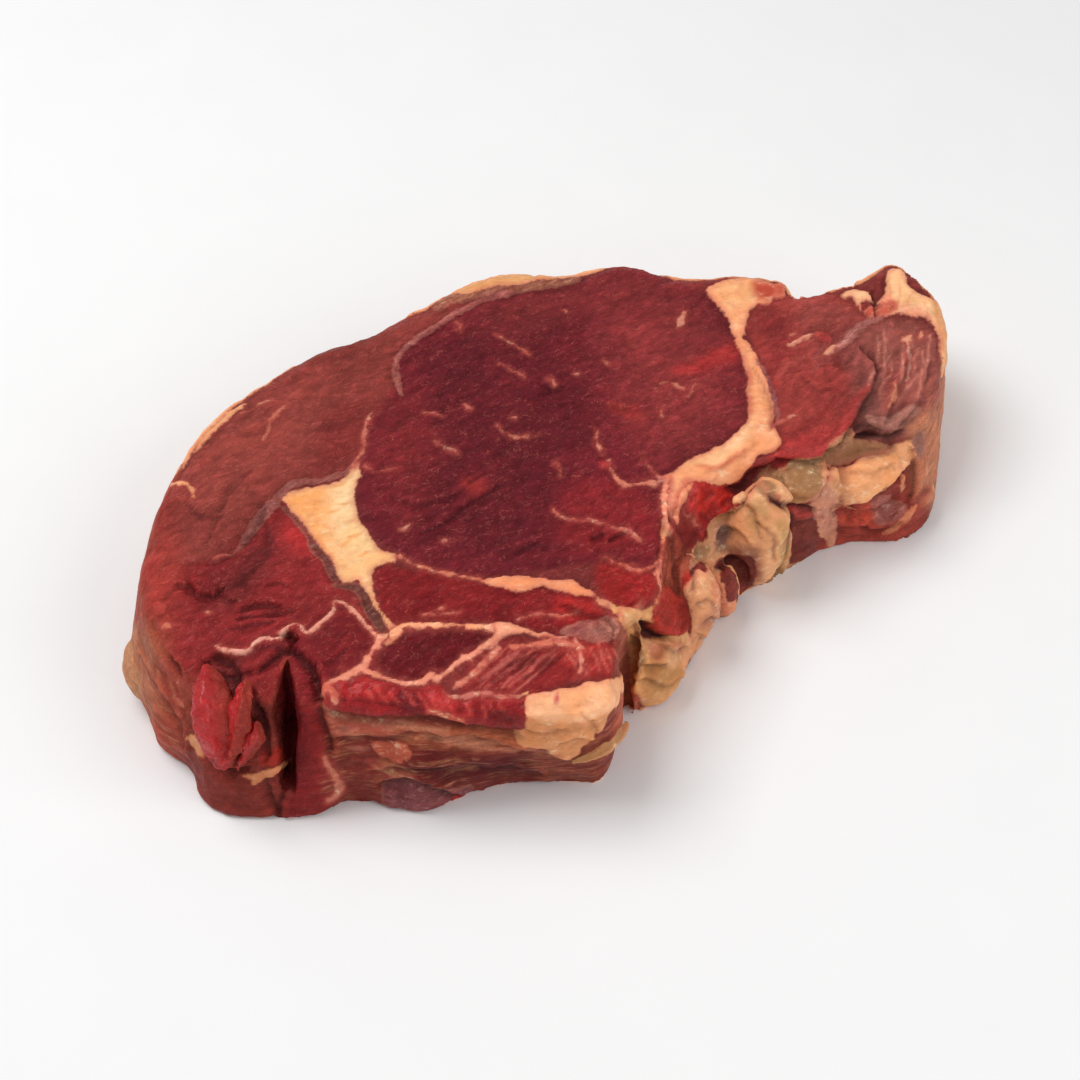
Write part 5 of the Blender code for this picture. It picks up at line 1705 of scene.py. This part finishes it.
@dataclass
class SteakBody:
    """The whole steak, worked from clay, painted with its tissues and parted at its shoulder and foot."""

    larder: Larder
    clay: Clay = field(default_factory=Clay)
    relief: Relief = field(default_factory=Relief)
    shoulder: float = 27.0
    foot: float = 1.2
    surface: BVHTree | None = None

    def build(self) -> list[bpy.types.Object]:
        """Makes, works and paints the body.

        Returns:
            The upper cut face, the walls and the underside, which together stand for the CAD steak.
        """
        whole = self.clay.build("whole")
        mesh = whole.data
        points = read_points(mesh)
        points[:, 2] += swell_height(points)
        points[points[:, 2] < self.clay.pressed_flat, 2] = 0
        write_points(mesh, points)
        painter = Painter(Places(points, read_normals(mesh)))
        painter.work()
        moved = points + read_normals(mesh) * self.relief.heights(painter)[:, None]
        moved[points[:, 2] <= 0, 2] = 0
        low, high = (np.array(corner) / MM for corner in CAD_BOX)
        write_points(mesh, np.clip(moved, np.maximum(low, (-999, -999, 0)) + 0.02, high - 0.02))
        self.surface = BVHTree.FromPolygons(read_points(mesh).tolist(), read_faces(mesh).tolist())
        fat = ramp(np.maximum(painter.depth[Tissue.FAT], painter.depth[Tissue.SEAM]), -0.4, 0.6)
        # hollow: how far each point lies below its surroundings, less on fat; the finish paints shade in
        # hollows and highlight on crests from it
        values = {**painter.values(), "hollow": hollows(mesh) * (1 - 0.55 * fat)}
        levels = points[:, 2][read_faces(mesh)].mean(axis=1)
        finish = SteakFinish(self.larder).build()
        bounds = ((self.shoulder, 99.0), (self.foot, self.shoulder), (-1.0, self.foot))
        pieces = []
        for name, (low_level, high_level) in zip(("cut_face", "walls", "underside"), bounds):
            part = self.part(mesh, f"steak_{name}", (levels >= low_level) & (levels < high_level), values)
            part.data.materials.append(finish)
            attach(part, "root")
            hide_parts("steak")
            pieces.append(part)
        bpy.data.objects.remove(whole)
        return pieces

    @staticmethod
    def part(whole: bpy.types.Mesh, name: str, chosen: Array, values: dict[str, Array]) -> bpy.types.Object:
        """Some of the body's faces as a piece of its own, with the whole body's shading across its rim.

        Args:
            whole: the body's mesh.
            name: the piece's name.
            chosen: whether each face is taken.
            values: what the body's points carry, by name.

        Returns:
            The piece, linked to the scene.
        """
        faces = read_faces(whole)[chosen]
        used, corners = np.unique(faces, return_inverse=True)
        mesh = bpy.data.meshes.new(name)
        mesh.from_pydata(read_points(whole)[used] * MM, [], corners.reshape(-1, 4))
        for key, value in values.items():
            store(mesh, key, value[used])
        mesh.shade_smooth()
        mesh.normals_split_custom_set_from_vertices(read_normals(whole)[used])
        piece = bpy.data.objects.new(name, mesh)
        bpy.context.scene.collection.objects.link(piece)
        return piece


@dataclass
class Tongue:
    """A loose tongue of meat or fat: flattened rings along a bent spine that lies on the body's front.

    The spine's rows are x, height up the slope, how far out from the body, width and thickness.
    """

    name: str
    spine: list[tuple[float, float, float, float, float]]
    out: tuple[float, float, float]
    ring_points: int = 32
    steps: int = 8
    rough: float = 0.5
    ridge_at: float = 0.3
    seed: int = 5

    def laid(self, body: BVHTree) -> list[tuple[float, float, float, float, float]]:
        """The spine's rows as x, y, z, width and thickness, where the body lets them lie.

        Args:
            body: the body's surface, in millimetres.

        Returns:
            The rows, in order.
        """
        tilt = Places.slope
        toward = Vector((0, -math.cos(tilt), math.sin(tilt)))
        rows, reach = [], 0.0
        for x, rise, out, width, thick in self.spine:
            start = Vector((x, rise * math.sin(tilt), rise * math.cos(tilt)))
            hit = body.ray_cast(start + toward * 300, -toward)[0]
            reach = (hit - start).dot(toward) if hit else reach
            rows.append((*(start + toward * (reach + out)), width, thick))
        return rows

    def build(self, material: bpy.types.Material, body: BVHTree) -> bpy.types.Object:
        """Makes the tongue.

        Args:
            material: its finish.
            body: the body's surface that it lies on.

        Returns:
            The tongue, which rides with the steak.
        """
        line = smooth_line(self.laid(body), self.steps, False)
        out = Vector(self.out).normalized()
        mesh = bmesh.new()
        rows, ridge, lit_and_wet = [], [], []
        for i, (x, y, z, width, thick) in enumerate(line):
            ahead = Vector(line[min(i + 1, len(line) - 1)][:3]) - Vector(line[max(i - 1, 0)][:3])
            across = ahead.cross(out).normalized()
            face = across.cross(ahead).normalized()
            row = []
            for k in range(self.ring_points):
                turn = 2 * math.pi * k / self.ring_points
                side, front_ = math.cos(turn), math.sin(turn)
                keel = 1.0 + 0.5 * math.exp(-(((side - self.ridge_at) / 0.28) ** 2)) * (front_ > 0)
                point = Vector((x, y, z)) + across * (side * width / 2) + face * (front_ * thick / 2 * keel)
                row.append(mesh.verts.new(point))
                ridge.append(math.exp(-(((side - self.ridge_at) / 0.16) ** 2)) * (front_ > 0))
                # across the ring: 1 on the lit, wetter side, 0 on the shaded, drier side
                lit_and_wet.append(float(np.clip(0.5 + 1.2 * (side + 0.15), 0, 1)))
            rows.append(row)
        for low, high in zip(rows, rows[1:]):
            for k in range(self.ring_points):
                j = (k + 1) % self.ring_points
                mesh.faces.new((low[k], low[j], high[j], high[k]))
        mesh.faces.new(rows[0][::-1])
        mesh.faces.new(rows[-1])
        for vertex in mesh.verts:
            vertex.co *= MM
        piece = new_object(self.name, mesh)
        store(piece.data, "ridge", np.array(ridge))
        store(piece.data, "lit_and_wet", np.array(lit_and_wet))
        smoother = piece.modifiers.new("round", "SUBSURF")
        smoother.levels = smoother.render_levels = 1
        apply_modifiers(piece)
        points, normals = read_points(piece.data), read_normals(piece.data)
        bumps = Lattice(self.seed).layered(points / 2.6, 4, 0.6)
        low, high = (np.array(corner) / MM for corner in CAD_BOX)
        points = points + normals * (self.rough * bumps)[:, None]
        write_points(piece.data, np.clip(points, low + 0.02, high - 0.02))
        piece.data.materials.append(material)
        piece.data.shade_smooth()
        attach(piece, "root")
        return piece


@dataclass
class LoosePieces:
    """The three tongues of cut muscle, and the flap of sinew by the rib corner."""

    larder: Larder
    body: BVHTree

    def build(self) -> list[bpy.types.Object]:
        """Makes every loose piece.

        Returns:
            The pieces, in the order made.
        """
        wet = WetMeatFinish(self.larder).build()
        cream = FatFinish(self.larder, "pale_sinew", linear(204, 150, 104)).build()
        tongues = (
            Tongue("muscle_tongue_large",
                   [(-72, -15.6, 1.0, 1.4, 1.2), (-71, -18, 1.6, 5.4, 3.0), (-69.8, -22.4, 1.8, 8.6, 3.8),
                    (-69.2, -28, 1.7, 9.6, 4.0), (-68.4, -33.4, 1.3, 8.0, 3.6), (-67.8, -36.4, 0.8, 5.0, 2.6),
                    (-67.8, -37.4, 0.4, 2.4, 1.4)], (0.35, -1.0, 0.55), ridge_at=0.5),
            Tongue("muscle_tongue_fold",
                   [(-62.4, -18.6, 1.4, 1.4, 1.2), (-62.8, -20.4, 2.2, 3.4, 2.6), (-63.6, -24, 2.6, 5.0, 3.4),
                    (-64.8, -29, 2.2, 5.4, 3.4), (-66.2, -33, 1.5, 4.4, 2.8), (-67, -35.6, 0.8, 2.0, 1.4)],
                   (-0.5, -1.0, 0.55), ridge_at=-0.4, seed=9),
            Tongue("muscle_tongue_small",
                   [(-60.8, -27, 0.9, 1.6, 1.2), (-60.8, -29.4, 1.5, 4.0, 2.4), (-61.6, -31.8, 1.5, 4.2, 2.6),
                    (-63.2, -34.4, 1.1, 2.8, 2.0), (-64.8, -37, 0.6, 1.4, 1.2),
                    (-65.3, -38.4, 0.4, 0.6, 0.6)],
                   (0.0, -1.0, 0.55), ridge_at=0.1, seed=8),
        )
        flap = Tongue("sinew_flap",
                      [(7, -36.6, 0.2, 1.0, 0.8), (10.4, -35.6, 0.5, 2.4, 1.1), (14, -33.6, 0.7, 3.0, 1.2),
                       (16.8, -31.4, 0.8, 3.2, 1.2), (18.6, -29, 0.8, 2.2, 1.0),
                       (18.8, -27.8, 0.6, 0.8, 0.6)],
                      (0.3, -1.0, 0.5), rough=0.25, seed=14)
        return [tongue.build(wet, self.body) for tongue in tongues] + [flap.build(cream, self.body)]


# ------------------------------------------------------------------ studio


@dataclass
class Studio:
    """A pale floor, soft light and the camera."""

    elevation: float = 50.0
    distance: float = 0.523
    aim: float = 0.018
    lens: float = 75.0

    def build(self) -> None:
        """Sets the camera, the floor and the lights."""
        scene = bpy.context.scene
        scene.view_settings.view_transform = "Standard"
        camera = bpy.data.objects.new("camera", bpy.data.cameras.new("camera"))
        scene.collection.objects.link(camera)
        tilt = math.radians(self.elevation)
        camera.location = (0, -self.distance * math.cos(tilt), self.aim + self.distance * math.sin(tilt))
        camera.rotation_euler = (math.radians(90) - tilt, 0, 0)
        camera.data.lens = self.lens
        camera.data.sensor_width = 36.0
        scene.camera = camera
        self.floor()
        self.light("key", (-0.42, 0.12, 0.80), 0.55, 5.2, (1.0, 1.0, 1.0))
        self.light("fill", (0.55, -0.30, 0.45), 0.6, 2.0, (1.0, 1.0, 1.0))
        world = bpy.data.worlds.new("soft_room")
        scene.world = world
        world.use_nodes = True
        world.node_tree.nodes["Background"].inputs["Color"].default_value = (1.0, 1.0, 1.0, 1.0)
        world.node_tree.nodes["Background"].inputs["Strength"].default_value = 0.37

    def floor(self) -> None:
        """A wide pale floor at the steak's resting height."""
        mesh = bmesh.new()
        bmesh.ops.create_grid(mesh, x_segments=1, y_segments=1, size=3.0)
        floor = new_object("floor", mesh)
        material, board, shader = new_material("pale_floor")
        grey = board.noise(board.add("ShaderNodeTexCoord").outputs["Object"], 40.0, 3.0)
        board.feed(shader.inputs["Base Color"], board.mix(grey, (0.91,) * 3, (0.94,) * 3))
        shader.inputs["Roughness"].default_value = 0.8
        floor.data.materials.append(material)

    @staticmethod
    def light(name: str, place: tuple, size: float, power: float, colour: Rgb) -> None:
        """A soft square light aimed at the steak."""
        data = bpy.data.lights.new(name, "AREA")
        data.size, data.energy, data.color = size, power, colour
        lamp = bpy.data.objects.new(name, data)
        lamp.location = place
        lamp.rotation_euler = Vector(place).to_track_quat("Z", "Y").to_euler()
        bpy.context.scene.collection.objects.link(lamp)


def report(piece: bpy.types.Object) -> None:
    """Logs a piece's name and size."""
    LOG.info("%s: %d points, %s mm", piece.name, len(piece.data.vertices),
             " x ".join(f"{side / MM:.1f}" for side in piece.dimensions))


def main() -> None:
    """Builds the steak, its loose pieces and the studio, in order."""
    logging.basicConfig(level=logging.INFO, format="%(message)s")
    larder = Larder()
    body = SteakBody(larder)
    for piece in body.build() + LoosePieces(larder, body.surface).build():
        report(piece)
    Studio().build()


if __name__ == "__main__":
    main()
